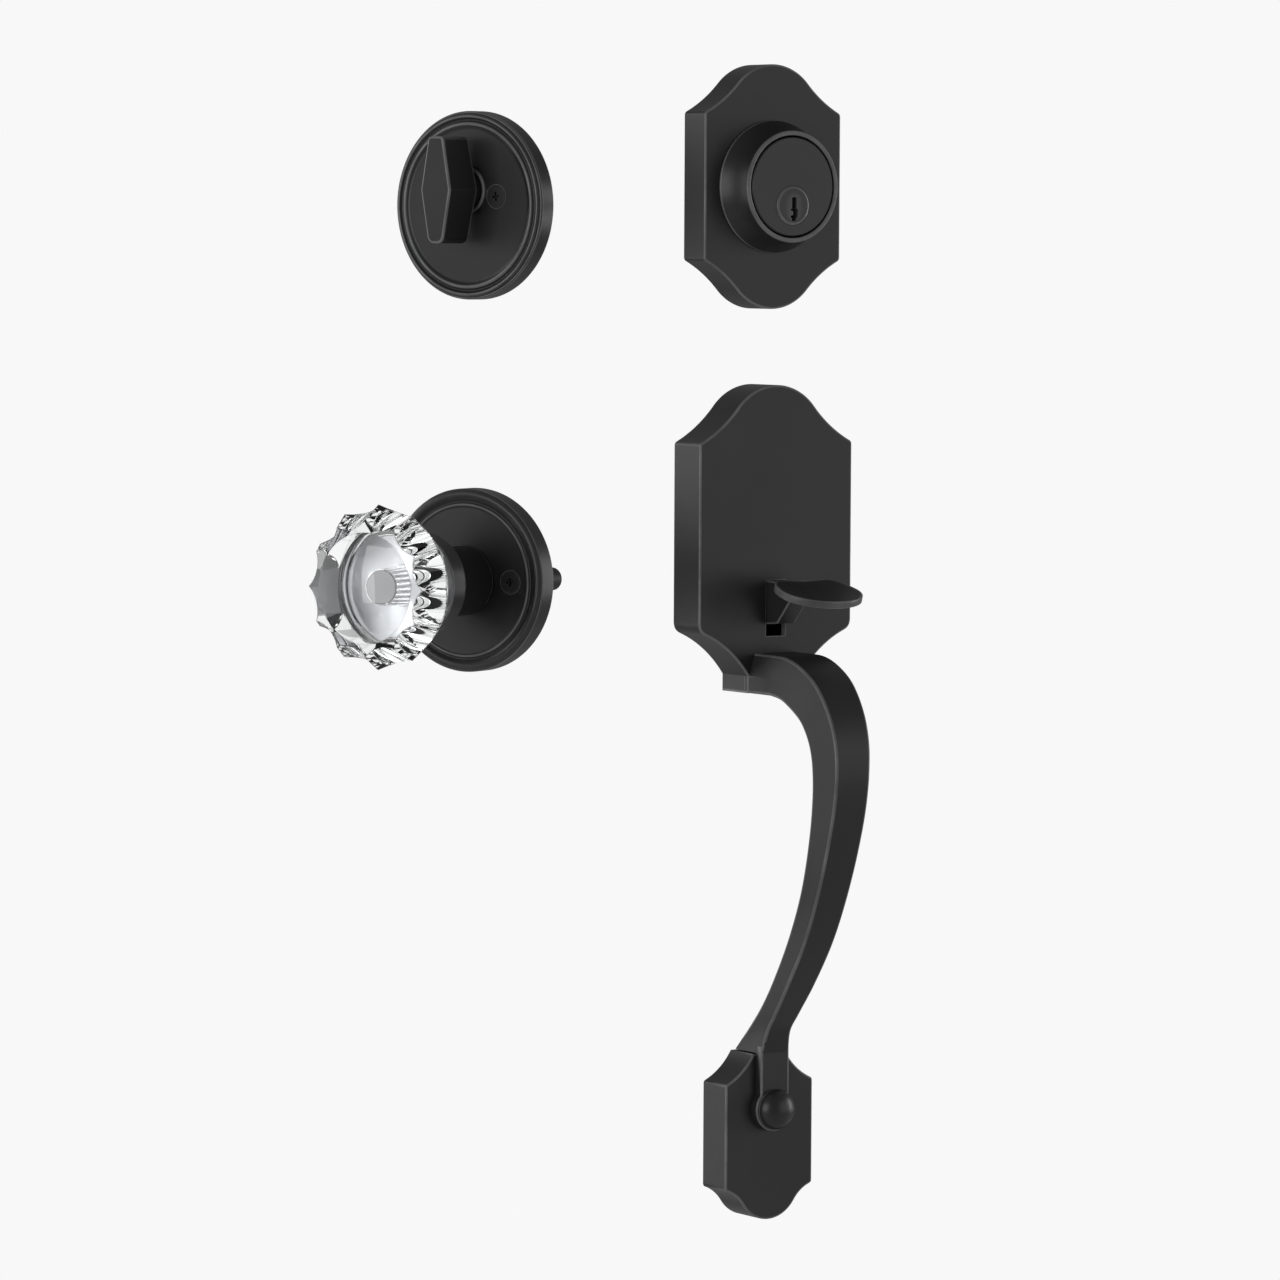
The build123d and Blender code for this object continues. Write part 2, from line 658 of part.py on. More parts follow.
# Steel backplate behind the rosette, which the thumbturn turns in
backplate_front = backplate_gap + plate_thickness
with BuildPart() as thumbturn_backplate:
    with BuildSketch(thumb_face.offset(backplate_gap)):
        Circle(thumb_backplate_d / 2)
        with Locations((0, thumb_axis_rise)):
            Circle(journal_d / 2 + running_fit, mode=Mode.SUBTRACT)
        with Locations(*[(side * lug_spacing / 2, thumb_screw_rise) for side in (-1, 1)]):
            Circle(screw_d / 2 + loose_fit, mode=Mode.SUBTRACT)
    extrude(amount=plate_thickness)
thumbturn_backplate.part.label = "thumbturn_backplate"
export_step(thumbturn_backplate.part, "parts/thumbturn_backplate.step")


def lever_outline(middle_width):
    """Upright hexagon with blunt ends"""
    with BuildSketch() as outline:
        with BuildLine():
            Polyline((lever_end_width / 2, lever_height / 2), (middle_width / 2, 0),
                     (lever_end_width / 2, -lever_height / 2), (-lever_end_width / 2, -lever_height / 2),
                     (-middle_width / 2, 0), (-lever_end_width / 2, lever_height / 2), close=True)
        make_face()
        ends = outline.vertices().filter_by(lambda v: abs(v.Y) > lever_height / 4)
        fillet(ends, lever_end_r)
    return outline.sketch


# Thumbturn: wedge grip on a round neck with a journal behind
lever_back = thumb_field + lever_stand
with BuildPart() as thumbturn_lever:
    with BuildSketch(thumb_axis.offset(lever_back)):
        add(lever_outline(lever_back_width))
    with BuildSketch(thumb_axis.offset(lever_back + lever_depth)):
        add(lever_outline(lever_front_width))
    loft(ruled=True)
    top = thumbturn_lever.faces().sort_by(Axis(thumb_axis.origin, thumb_axis.z_dir))[-1]
    chamfer(top.edges(), lever_edge)
    add(turned(thumb_axis, [
        (0, journal_back), (journal_d / 2, journal_back),
        (journal_d / 2, backplate_gap - 2 * cap_gap - clip_thickness),
        (clip_groove_d / 2, backplate_gap - 2 * cap_gap - clip_thickness),
        (clip_groove_d / 2, backplate_gap - cap_gap), (journal_d / 2, backplate_gap - cap_gap),
        (journal_d / 2, backplate_front + cap_gap), (neck_d / 2, backplate_front + cap_gap),
        (neck_d / 2, lever_back), (0, lever_back),
    ]))
    with BuildSketch(thumb_axis.offset(journal_back)):
        Circle(drive_tube_d / 2)
    extrude(amount=backplate_front - journal_back, mode=Mode.SUBTRACT)
thumbturn_lever.part.label = "thumbturn_lever"
export_step(thumbturn_lever.part, "parts/thumbturn_lever.step")

# Slotted tube that drives the bolt's tailpiece
with BuildPart() as thumbturn_drive:
    with BuildSketch(thumb_axis.offset(drive_tube_back)):
        Circle(drive_tube_d / 2)
        Rectangle(tailpiece_thickness + loose_fit, tailpiece_width + loose_fit, mode=Mode.SUBTRACT)
    extrude(amount=backplate_front - drive_tube_back)
thumbturn_drive.part.label = "thumbturn_drive"
export_step(thumbturn_drive.part, "parts/thumbturn_drive.step")

# Clip that keeps the thumbturn in its backplate
with BuildPart() as thumbturn_clip:
    with BuildSketch(thumb_axis.offset(backplate_gap - cap_gap - clip_thickness)):
        Circle(clip_d / 2)
        Circle(clip_groove_d / 2, mode=Mode.SUBTRACT)
        with Locations((0, -clip_d / 2)):
            Rectangle(clip_groove_d / 2, clip_d, mode=Mode.SUBTRACT)
    extrude(amount=clip_thickness)
thumbturn_clip.part.label = "thumbturn_clip"
export_step(thumbturn_clip.part, "parts/thumbturn_clip.step")

with BuildPart() as thumbturn_screws:
    for place in thumb_screws:
        add(countersunk_screw(place, thumb_field + 0.2, backplate_gap - cap_gap, thumb_screw_back))
thumbturn_screws.part.label = "thumbturn_screws"
export_step(thumbturn_screws.part, "parts/thumbturn_screws.step")

# Inside knob: rosette with a wide bead and a thin lip around the field
knob_field = knob_rosette_profile[-1][1]
knob_screw_places = [moved(knob_face, side * post_spacing / 2, 0) for side in (-1, 1)]
with BuildPart() as knob_rosette:
    add(rosette(knob_face, knob_rosette_profile))
    drilled([knob_face.offset(knob_field)], knob_journal_d + 4 * loose_fit, knob_field)
    for place in knob_screw_places:
        add(countersink(place, knob_field + 0.2), mode=Mode.SUBTRACT)
knob_rosette.part.label = "knob_rosette"
export_step(knob_rosette.part, "parts/knob_rosette.step")

# Backplate with two posts that reach into the bore
with BuildPart() as knob_backplate:
    with BuildSketch(knob_face.offset(backplate_gap)):
        Circle(knob_backplate_d / 2)
    extrude(amount=plate_thickness)
    with BuildSketch(*[place.offset(knob_post_back) for place in knob_screw_places]):
        Circle(knob_post_d / 2)
    extrude(amount=backplate_gap - knob_post_back)
    drilled([knob_face.offset(backplate_front)], knob_journal_d + 2 * running_fit, plate_thickness)
    drilled([place.offset(backplate_front) for place in knob_screw_places],
            screw_d + 2 * loose_fit, backplate_front - knob_thread_bottom)
knob_backplate.part.label = "knob_backplate"
export_step(knob_backplate.part, "parts/knob_backplate.step")

# Knob shank: neck in front of the rosette, journal through the backplate, square bore
groove_front = backplate_gap - cap_gap
groove_back = groove_front - clip_thickness - cap_gap
neck_back = knob_field + knob_neck_gap
with BuildPart() as knob_shank:
    add(turned(knob_face, [
        (0, journal_back), (knob_journal_d / 2, journal_back), (knob_journal_d / 2, groove_back),
        (knob_clip_groove_d / 2, groove_back), (knob_clip_groove_d / 2, groove_front),
        (knob_journal_d / 2, groove_front), (knob_journal_d / 2, neck_back),
        (knob_neck_d / 2, neck_back), (knob_neck_d / 2, bezel_back), (0, bezel_back),
    ]))
    with BuildSketch(knob_face.offset(journal_back)):
        Rectangle(spindle_side, spindle_side)
    extrude(amount=spindle_front - journal_back, mode=Mode.SUBTRACT)
    with BuildSketch(Plane(origin=knob_face.from_local_coords((0, -knob_neck_d / 2, set_screw_height)),
                           x_dir=knob_face.x_dir, z_dir=-knob_face.y_dir)):
        Circle(set_screw_d / 2)
    extrude(amount=-(knob_neck_d - spindle_side) / 2, mode=Mode.SUBTRACT)
knob_shank.part.label = "knob_shank"
export_step(knob_shank.part, "parts/knob_shank.step")

# Grub screw that holds the shank on its spindle
with BuildPart() as knob_set_screw:
    with BuildSketch(Plane(origin=knob_face.from_local_coords((0, -spindle_side / 2, set_screw_height)),
                           x_dir=knob_face.x_dir, z_dir=-knob_face.y_dir)):
        Circle(set_screw_d / 2)
    extrude(amount=set_screw_length)
    hex_end = knob_set_screw.faces().sort_by(Axis(knob_face.origin, -knob_face.y_dir))[-1]
    with BuildSketch(Plane(hex_end)):
        RegularPolygon(set_screw_d / 4, 6)
    extrude(amount=-set_screw_length / 3, mode=Mode.SUBTRACT)
knob_set_screw.part.label = "knob_set_screw"
export_step(knob_set_screw.part, "parts/knob_set_screw.step")

with BuildPart() as knob_spindle:
    with BuildSketch(knob_face.offset(spindle_back)):
        Rectangle(spindle_side, spindle_side)
    extrude(amount=spindle_front - spindle_back)
knob_spindle.part.label = "knob_spindle"
export_step(knob_spindle.part, "parts/knob_spindle.step")

with BuildPart() as knob_clip:
    with BuildSketch(knob_face.offset(groove_front - clip_thickness)):
        Circle(knob_clip_d / 2)
        Circle(knob_clip_groove_d / 2, mode=Mode.SUBTRACT)
        with Locations((0, -knob_clip_d / 2)):
            Rectangle(knob_clip_groove_d / 2, knob_clip_d, mode=Mode.SUBTRACT)
    extrude(amount=clip_thickness)
knob_clip.part.label = "knob_clip"
export_step(knob_clip.part, "parts/knob_clip.step")

# Open ring spring that brings the knob back to centre
with BuildPart() as knob_return_spring:
    with BuildSketch(knob_face.offset(backplate_front)):
        Circle(spring_outer_d / 2)
        Circle(spring_inner_d / 2, mode=Mode.SUBTRACT)
        with BuildLine():
            half = spring_outer_d * tan(radians(spring_opening / 2))
            Polyline((0, 0), (half, -spring_outer_d), (-half, -spring_outer_d), close=True)
        make_face(mode=Mode.SUBTRACT)
    extrude(amount=spring_thickness)
knob_return_spring.part.label = "knob_return_spring"
export_step(knob_return_spring.part, "parts/knob_return_spring.step")

# Bezel: cup that holds the glass, with a stud up the middle
with BuildPart() as knob_bezel:
    cup_r = bezel_d / 2 - bezel_wall
    add(turned(knob_face, [
        (0, bezel_back), (bezel_back_d / 2, bezel_back), (bezel_d / 2, bezel_back + bezel_floor),
        (bezel_d / 2, bezel_front - bezel_edge), (bezel_d / 2 - bezel_edge, bezel_front), (cup_r, bezel_front),
        (cup_r, glass_profile[0][1]), (glass_stud_d / 2, glass_profile[0][1]),
        (glass_stud_d / 2, glass_stud_front), (0, glass_stud_front),
    ]))
knob_bezel.part.label = "knob_bezel"
export_step(knob_bezel.part, "parts/knob_bezel.step")

# Glass knob: turned blank, dome in front, twelve flutes round the band
with BuildPart() as glass_knob:
    section = Plane(origin=knob_face.origin, x_dir=knob_face.x_dir, z_dir=-knob_face.y_dir)
    with BuildSketch(section):
        with BuildLine():
            rim = glass_profile[-1]
            rise = glass_dome_top - rim[1]
            dome_r = (rim[0] ** 2 + rise**2) / (2 * rise)
            lean = atan2(rim[0], dome_r - rise) / 2
            Polyline((0, glass_dome_top), (0, glass_stud_front), (glass_stud_d / 2, glass_stud_front),
                     (glass_stud_d / 2, glass_profile[0][1]), *glass_profile)
            ThreePointArc(rim, (dome_r * sin(lean), glass_dome_top - dome_r * (1 - cos(lean))),
                          (0, glass_dome_top))
        make_face()
    revolve(axis=Axis(knob_face.origin, knob_face.z_dir))
    chord = glass_r * sin(radians(180 / glass_points))
    sag = glass_r * cos(radians(180 / glass_points)) - glass_valley_r
    flute_r = (chord**2 + sag**2) / (2 * sag)
    lean_slope = tan(radians(flute_lean))
    ring_height = min(height for radius, height in glass_profile if radius >= max(glass_profile)[0])
    run = 2 * (glass_dome_top - ring_height)
    for k in range(glass_points):
        bearing = radians(360 * (k + 0.5) / glass_points)
        start = glass_valley_r + flute_r / cos(radians(flute_lean)) + run * lean_slope
        begin = knob_face.from_local_coords((start * cos(bearing), start * sin(bearing), ring_height - run))
        finish = start - 2 * run * lean_slope
        end = knob_face.from_local_coords((finish * cos(bearing), finish * sin(bearing), ring_height + run))
        with BuildSketch(Plane(origin=begin, z_dir=end - begin)):
            Circle(flute_r)
        extrude(amount=(end - begin).length, mode=Mode.SUBTRACT)
glass_knob.part.label = "glass_knob"
export_step(glass_knob.part, "parts/glass_knob.step")

with BuildPart() as knob_screws:
    for place in knob_screw_places:
        add(countersunk_screw(place, knob_field + 0.2, backplate_gap - cap_gap, knob_screw_back))
knob_screws.part.label = "knob_screws"
export_step(knob_screws.part, "parts/knob_screws.step")
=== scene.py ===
from math import acos, asin, atan2, cos, hypot, pi, radians, sin, sqrt, tan

import bmesh
import bpy
from mathutils import Matrix, Vector


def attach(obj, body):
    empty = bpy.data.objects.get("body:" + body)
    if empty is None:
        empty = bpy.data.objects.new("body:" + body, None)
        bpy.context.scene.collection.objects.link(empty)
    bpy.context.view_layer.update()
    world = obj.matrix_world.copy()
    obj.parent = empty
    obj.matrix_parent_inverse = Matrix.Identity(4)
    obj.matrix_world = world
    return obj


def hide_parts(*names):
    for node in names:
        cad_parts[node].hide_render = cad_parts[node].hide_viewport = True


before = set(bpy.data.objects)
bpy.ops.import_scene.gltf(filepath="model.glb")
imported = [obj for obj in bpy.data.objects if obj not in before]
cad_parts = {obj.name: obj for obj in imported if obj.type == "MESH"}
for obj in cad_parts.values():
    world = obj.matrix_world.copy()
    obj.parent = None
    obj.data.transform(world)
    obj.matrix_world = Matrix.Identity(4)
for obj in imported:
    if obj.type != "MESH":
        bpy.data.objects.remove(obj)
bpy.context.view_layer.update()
print("frame loaded:", len(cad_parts), "nodes")


class Sizes:
    # the values of a piece's dictionary, by name
    def __init__(self, values):
        for name, value in values.items():
            setattr(self, name, value)


def newObject(name, data):
    made = bpy.data.objects.new(name, data)
    bpy.context.scene.collection.objects.link(made)
    return made


def spread(end, count):
    # even steps from nought to the end
    return [end * i / count for i in range(count + 1)]


photoCamera = {
    "azimuth": -34.37,  # degrees round from straight in front
    "pitch": 3.935,  # looking down
    "roll": 0.288,
    "distance": 2.229457,
    "aimAcross": -0.040701,
    "aimUp": -0.021508,
    "lens": 168.75,
}


def placeCamera(c):
    a, e, r = (radians(angle) for angle in (c.azimuth, c.pitch, c.roll))
    back = Vector((sin(a) * cos(e), -cos(a) * cos(e), sin(e)))
    across = Vector((cos(a), sin(a), 0))
    up = back.cross(across)
    right = across * cos(r) + up * sin(r)
    top = up * cos(r) - across * sin(r)
    spot = across * c.aimAcross + Vector((0, 0, c.aimUp)) + back * c.distance
    data = bpy.data.cameras.new("photoCamera")
    data.lens = c.lens
    data.sensor_width = 36
    data.clip_start, data.clip_end = 0.05, 60
    cam = newObject("photoCamera", data)
    turn = Matrix((right, top, back)).transposed().to_4x4()
    cam.matrix_world = Matrix.Translation(spot) @ turn
    bpy.context.scene.camera = cam


placeCamera(Sizes(photoCamera))


class Value:
    # a socket that Python's operators work on
    def __init__(self, graph, socket):
        self.graph, self.socket = graph, socket

    def maths(self, operation, *others):
        return self.graph.maths(operation, self, *others)

    def __add__(self, other):
        return self.maths("ADD", other)

    def __sub__(self, other):
        return self.maths("SUBTRACT", other)

    def __mul__(self, other):
        return self.maths("MULTIPLY", other)

    def __truediv__(self, other):
        return self.maths("DIVIDE", other)

    def __rsub__(self, other):
        return self.graph.maths("SUBTRACT", other, self)

    def __rtruediv__(self, other):
        return self.graph.maths("DIVIDE", other, self)

    __radd__ = __add__
    __rmul__ = __mul__

    def least(self, other):
        return self.maths("MINIMUM", other)

    def most(self, other):
        return self.maths("MAXIMUM", other)


class Graph:
    def __init__(self, tree):
        self.tree = tree

    def add(self, kind, settings=None, inputs=None, output=0):
        node = self.tree.nodes.new(kind)
        for name, value in (settings or {}).items():
            if name == "stops":
                ramp = node.color_ramp
                while len(ramp.elements) < len(value):
                    ramp.elements.new(0.5)
                for element, (place, shade) in zip(ramp.elements, value):
                    element.position = place
                    element.color = (shade, shade, shade, 1)
            else:
                setattr(node, name, value)
        for name, value in (inputs or {}).items():
            if isinstance(value, Value):
                self.tree.links.new(value.socket, node.inputs[name])
            else:
                node.inputs[name].default_value = value
        return Value(self, node.outputs[output])

    def maths(self, operation, *values):
        return self.add("ShaderNodeMath", {"operation": operation}, dict(enumerate(values)))

    def mixColour(self, factor, a, b):
        a, b = (*a, 1) if isinstance(a, tuple) else a, (*b, 1)
        return self.add("ShaderNodeMix", {"data_type": "RGBA"}, {0: factor, 6: a, 7: b}, 2)

    def noise(self, place, scale, detail=3.0):
        inputs = {"Vector": place, "Scale": scale, "Detail": detail, "Roughness": 0.55}
        return self.add("ShaderNodeTexNoise", None, inputs)

    def stops(self, value, *pairs):
        return self.add("ShaderNodeValToRGB", {"stops": pairs}, {0: value})

    def attribute(self, name):
        return self.add("ShaderNodeAttribute", {"attribute_name": name}, None, "Fac")

    def bump(self, height, strength, distance):
        inputs = {"Strength": strength, "Distance": distance, "Height": height}
        return self.add("ShaderNodeBump", None, inputs)

    def vector(self, x, y, z):
        return self.add("ShaderNodeCombineXYZ", None, {0: x, 1: y, 2: z})

    def end(self, kind, value, name):
        node = self.tree.nodes.new(kind)
        self.tree.links.new(value.socket, node.inputs[name])


studio = {
    "background": 0.939,  # what the camera and the glass see of the backdrop
    "ambient": 0.24,
    "floorLevel": -0.62,
    "floorRadius": 1.1,
    "floorColour": 0.86,
    "floorGlow": 0.5,
    "lamps": {
        # name: place, width, height, watts
        "left": ((-2.2, -0.5, 0.25), 1.9, 1.5, 22.0),
        "front": ((1.2, -2.0, 0.1), 1.5, 1.5, 6.0),
        "right": ((2.1, -0.7, 0.1), 0.7, 1.2, 14.0),
        "behind": ((-1.4, 1.8, 0.2), 1.8, 1.8, 15.0),
    },
    "aim": (-0.03, -0.02, 0.02),
}


def buildStudio(s):
    scene = bpy.context.scene
    world = bpy.data.worlds.new("studio")
    scene.world = world
    world.use_nodes = True
    world.node_tree.nodes.clear()
    g = Graph(world.node_tree)
    seen = g.add("ShaderNodeLightPath", output="Is Camera Ray")
    seen = seen.most(g.add("ShaderNodeLightPath", output="Is Transmission Ray"))
    strength = seen * (s.background - s.ambient) + s.ambient
    light = g.add("ShaderNodeBackground", None, {"Color": (1, 1, 1, 1), "Strength": strength})
    g.end("ShaderNodeOutputWorld", light, "Surface")
    for name, (place, width, height, watts) in s.lamps.items():
        data = bpy.data.lights.new(name + "Lamp", "AREA")
        data.shape = "RECTANGLE"
        data.size, data.size_y, data.energy = width, height, watts
        lamp = newObject(name + "Lamp", data)
        lamp.location = place
        lamp.rotation_euler = (Vector(s.aim) - Vector(place)).to_track_quat("-Z", "Y").to_euler()
    scene.view_settings.view_transform = "Standard"


buildStudio(Sizes(studio))
print("studio ready")

# Finishes

finishes = {
    "blackTone": (0.0125, 0.0125, 0.0135),
    "blackLight": (0.0185, 0.0185, 0.0195),
    # bright edge colour and how far edges go toward it: partly edge wear, partly a painted highlight along
    # the rounded edges
    "blackWorn": (0.2, 0.2, 0.206),
    "plateTone": (0.62, 0.63, 0.65),  # bright plating under the glass
    "plateRoughness": 0.26,
    "blackRoughness": 0.40,
    "turned": (-0.04, True, 0.42),  # turned parts: roughness added, edge wear and painted edge highlight or not, specular level
    "wearDepth": 0.75,
    "grainScale": 2600.0,  # powder coat grain, features per metre
    "grainHeight": 0.000012,
    "zincTone": (0.50, 0.51, 0.52),
    "springTone": (0.30, 0.31, 0.33),
    "brassTone": (0.66, 0.47, 0.20),
    "glassTint": (0.985, 0.992, 0.995),
    "glassIndex": 1.6,
    "halfPlatedHaze": 1.6,  # roughness added where the plating is partial
    # painted shade: dark tint for the glass along its creases, standing in for dark refraction lines
    "creaseTint": (0.02, 0.02, 0.022),
    "creaseDepth": 0.85,
}


def newMaterial(name):
    m = bpy.data.materials.new(name)
    m.use_nodes = True
    m.node_tree.nodes.clear()
    g = Graph(m.node_tree)
    return m, g, g.add("ShaderNodeTexCoord", output="Object")


def finishMaterial(m, g, inputs):
    g.end("ShaderNodeOutputMaterial", g.add("ShaderNodeBsdfPrincipled", None, inputs), "Surface")
    return m


def satinBlack(name, f, roughness=0.0, wornAndHighlit=True, specular=0.36, plated=False):
    m, g, place = newMaterial(name)
    broad, cloud = g.noise(place, 18.0), g.noise(place, 160.0, 4.0)
    grain = g.noise(place, f.grainScale, 2.0)
    colour = g.mixColour(g.stops(broad, (0.35, 0.0), (0.68, 1.0)), f.blackTone, f.blackLight)
    rough = f.blackRoughness + roughness + (cloud - 0.5) * 0.04 + (grain - 0.5) * 0.04
    if wornAndHighlit:
        # edge wear and painted edge highlight: convex edges, broken up by noise, are lightened toward the
        # bright edge colour and made glossier
        patch = g.stops(g.noise(place, 90.0, 4.0), (0.36, 0.6), (0.64, 1.0))
        rubAndHighlight = g.stops(g.attribute("edge"), (0.12, 0.0), (0.62, 1.0)) * patch
        colour = g.mixColour(rubAndHighlight * f.wearDepth, colour, f.blackWorn)
        rough = rough - rubAndHighlight * 0.08
    metallic = 0.0
    if plated:
        metallic = bright = g.attribute("plated")
        colour = g.mixColour(bright, colour, f.plateTone)
        # the half-plated stud is the dullest
        haze = bright * (1 - bright) * f.halfPlatedHaze
        rough = rough * (1 - bright) + bright * (f.plateRoughness + cloud * 0.10) + haze
    return finishMaterial(m, g, {
        "Base Color": colour, "Roughness": rough, "Metallic": metallic,
        "Normal": g.bump(grain, 0.35, f.grainHeight), "Specular IOR Level": specular})


def plainMetal(name, tone, roughness, streak):
    m, g, place = newMaterial(name)
    cloud, fine = g.noise(place, 90.0, 5.0), g.noise(place, streak)
    dull = tuple(c * 0.72 for c in tone)
    return finishMaterial(m, g, {
        "Base Color": g.mixColour(g.stops(cloud, (0.3, 0.0), (0.7, 1.0)), dull, tone), "Metallic": 1.0,
        "Roughness": roughness + (cloud - 0.5) * 0.18 + (fine - 0.5) * 0.1,
        "Normal": g.bump(fine, 0.3, 0.00002)})


def pressedGlass(name, f):
    m, g, place = newMaterial(name)
    # painted shade: the glass is tinted near black along its sharp edges and flute creases
    paintedCreaseShade = g.attribute("edge") * f.creaseDepth
    return finishMaterial(m, g, {
        "Base Color": g.mixColour(paintedCreaseShade, f.glassTint, f.creaseTint),
        "Roughness": g.noise(place, 300.0) * 0.012, "Normal": g.bump(g.noise(place, 45.0, 1.0), 0.3, 0.0002),
        "Transmission Weight": 1.0, "IOR": f.glassIndex})


def makeMaterials(f):
    return {
        "black": satinBlack("satinBlackCasting", f),
        "blackTurned": satinBlack("satinBlackTurned", f, *f.turned),
        "blackPlain": satinBlack("satinBlackHidden", f, 0.12, False),
        "blackCup": satinBlack("satinBlackCup", f, *f.turned, plated=True),
        "zinc": plainMetal("dullZincPlate", f.zincTone, 0.38, 1400.0),
        "spring": plainMetal("springSteel", f.springTone, 0.32, 2200.0),
        "brass": plainMetal("drawnBrass", f.brassTone, 0.30, 1800.0),
        "glass": pressedGlass("clearPressedGlass", f),
    }


materials = makeMaterials(Sizes(finishes))
print("finishes ready:", len(materials))

# Shapes are drawn in millimetres on a door face: right, up, out


def facePlace(place, turnedBy):
    a = radians(turnedBy)
    right = Vector((cos(a), sin(a), 0))
    out = Vector((sin(a), -cos(a), 0))
    turn = Matrix((right, Vector((0, 0, 1)), out)).transposed().to_4x4()
    return Matrix.Translation(Vector(place) / 1000) @ turn @ Matrix.Scale(0.001, 4)


groups = {
    "deadboltAxis": ((0, 0, 139.7), 0),
    "deadboltMiddle": ((0, 0, 146.6), 0),
    "handle": ((0, 0, 0), 0),
    "thumbturn": ((-73.2, 71.9, 139.3), -72.0),
    "thumbturnAxis": ((-73.2, 71.9, 144.9), -72.0),
    "knob": ((-73.6, 72.6, -0.3), -67.0),
}
places = {name: facePlace(*g) for name, g in groups.items()}


# settings of the edge mask: edge wear and painted highlight on the black parts, painted crease shade on the
# glass
wear = {
    "bendUnit": 1100,  # radians a metre for one step of edge wear and painted light
    "untouched": 0.25,  # steps taken off, so that gentle bends stay as new
    "widest": 0.0006,  # metres that any wider face counts as
}


def markPoints(mesh, name, amounts):
    layer = mesh.attributes.new(name, "FLOAT", "POINT")
    layer.data.foreach_set("value", amounts)


def markEdges(mesh, dents=False):
    # how sharply each vertex's edges bend outward, or either way with dents, for the edge wear and painted
    # edge highlight of the black finish and the painted crease shade of the glass
    work = bmesh.new()
    work.from_mesh(mesh)
    amounts = [0.0] * len(work.verts)
    for edge in work.edges:
        if len(edge.link_faces) == 2 and (dents or edge.is_convex):
            wide = max(min(f.calc_area() for f in edge.link_faces) / max(edge.calc_length(), 1e-7), 1e-5)
            bend = edge.calc_face_angle(0.0) / min(wide, wear["widest"])
            amount = min(1.0, max(0.0, bend / wear["bendUnit"] - wear["untouched"]))
            for v in edge.verts:
                amounts[v.index] = max(amounts[v.index], amount)
    work.free()
    markPoints(mesh, "edge", amounts)


def byPlace(piece, group, rule):
    # what the rule gives for each vertex's place in the group's own frame
    back = places[group].inverted()
    return [float(rule(back @ v.co)) for v in piece.data.vertices]


def easeWearAndHighlight(piece, group, rule):
    # multiplies the edge wear and painted highlight of each vertex by what the rule gives
    layer = piece.data.attributes["edge"]
    amounts = [0.0] * len(piece.data.vertices)
    layer.data.foreach_get("value", amounts)
    layer.data.foreach_set("value", [a * b for a, b in zip(amounts, byPlace(piece, group, rule))])


def dressPiece(piece, nodes, material="black", body="door_furniture",
               sharp=32, dents=False):
    mesh = piece.data
    mesh.polygons.foreach_set("use_smooth", [True] * len(mesh.polygons))
    mesh.set_sharp_from_angle(angle=radians(sharp))
    markEdges(mesh, dents)
    mesh.materials.clear()
    mesh.materials.append(materials[material])
    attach(piece, body)
    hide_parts(*nodes)
    print("piece:", piece.name, len(mesh.polygons), "faces")
    return piece


def meshFrom(bm, name):
    mesh = bpy.data.meshes.new(name)
    bm.to_mesh(mesh)
    bm.free()
    return mesh


def looseObject(name, bm, group):
    # a piece still without its finish
    bmesh.ops.remove_doubles(bm, verts=bm.verts, dist=1e-4)
    bmesh.ops.recalc_face_normals(bm, faces=bm.faces)
    bmesh.ops.transform(bm, matrix=places[group], verts=bm.verts)
    return newObject(name, meshFrom(bm, name))


def finishPiece(name, bm, group, nodes, material="black", body="door_furniture"):
    return dressPiece(looseObject(name, bm, group), nodes, material, body)


def applyModifier(piece, modifier):
    old = piece.data
    result = bpy.data.meshes.new_from_object(piece.evaluated_get(bpy.context.evaluated_depsgraph_get()))
    piece.modifiers.remove(modifier)
    piece.data = result
    bpy.data.meshes.remove(old)


def bearingOf(angle):
    return Vector((cos(angle), sin(angle)))


def arcPoints(start, middle, end, count):
    # points on the circle through three, from the first to the last
    a, b, c = Vector(start), Vector(middle), Vector(end)
    d = 2 * (a.x * (b.y - c.y) + b.x * (c.y - a.y) + c.x * (a.y - b.y))
    if abs(d) < 1e-9:
        return [a.lerp(c, t) for t in spread(1, count)]
    aa, bb, cc = a.length_squared, b.length_squared, c.length_squared
    ux = (aa * (b.y - c.y) + bb * (c.y - a.y) + cc * (a.y - b.y)) / d
    uy = (aa * (c.x - b.x) + bb * (a.x - c.x) + cc * (b.x - a.x)) / d
    centre = Vector((ux, uy))
    radius = (a - centre).length
    first = atan2(a.y - uy, a.x - ux)
    middleTurn = (atan2(b.y - uy, b.x - ux) - first) % (2 * pi)
    turn = (atan2(c.y - uy, c.x - ux) - first) % (2 * pi)
    if middleTurn > turn:
        turn -= 2 * pi
    return [centre + bearingOf(first + t) * radius for t in spread(turn, count)]


def crownPoints(halfWidth, corner, apex, crownR, hollowR, up=1):
    # right-hand half of a crowned end, from its corner to the apex
    corner, apex = up * corner, up * apex
    crownY = apex - crownR
    reach = hypot(halfWidth, corner - crownY)
    spread = crownR + hollowR
    bearing = atan2(corner - crownY, halfWidth)
    bearing += acos((spread**2 + reach**2 - hollowR**2) / (2 * spread * reach))
    way = bearingOf(bearing)
    centre = Vector((0, crownY)) + way * spread
    join = Vector((0, crownY)) + way * crownR
    toward = (join - centre) + (Vector((halfWidth, corner)) - centre)
    middle = centre + toward.normalized() * hollowR
    side = Vector((0, crownY)) + bearingOf((bearing + pi / 2) / 2) * crownR
    points = arcPoints((halfWidth, corner), middle, join, 28) + arcPoints(join, side, (0, apex), 28)[1:]
    return [Vector((p.x, up * p.y)) for p in points]


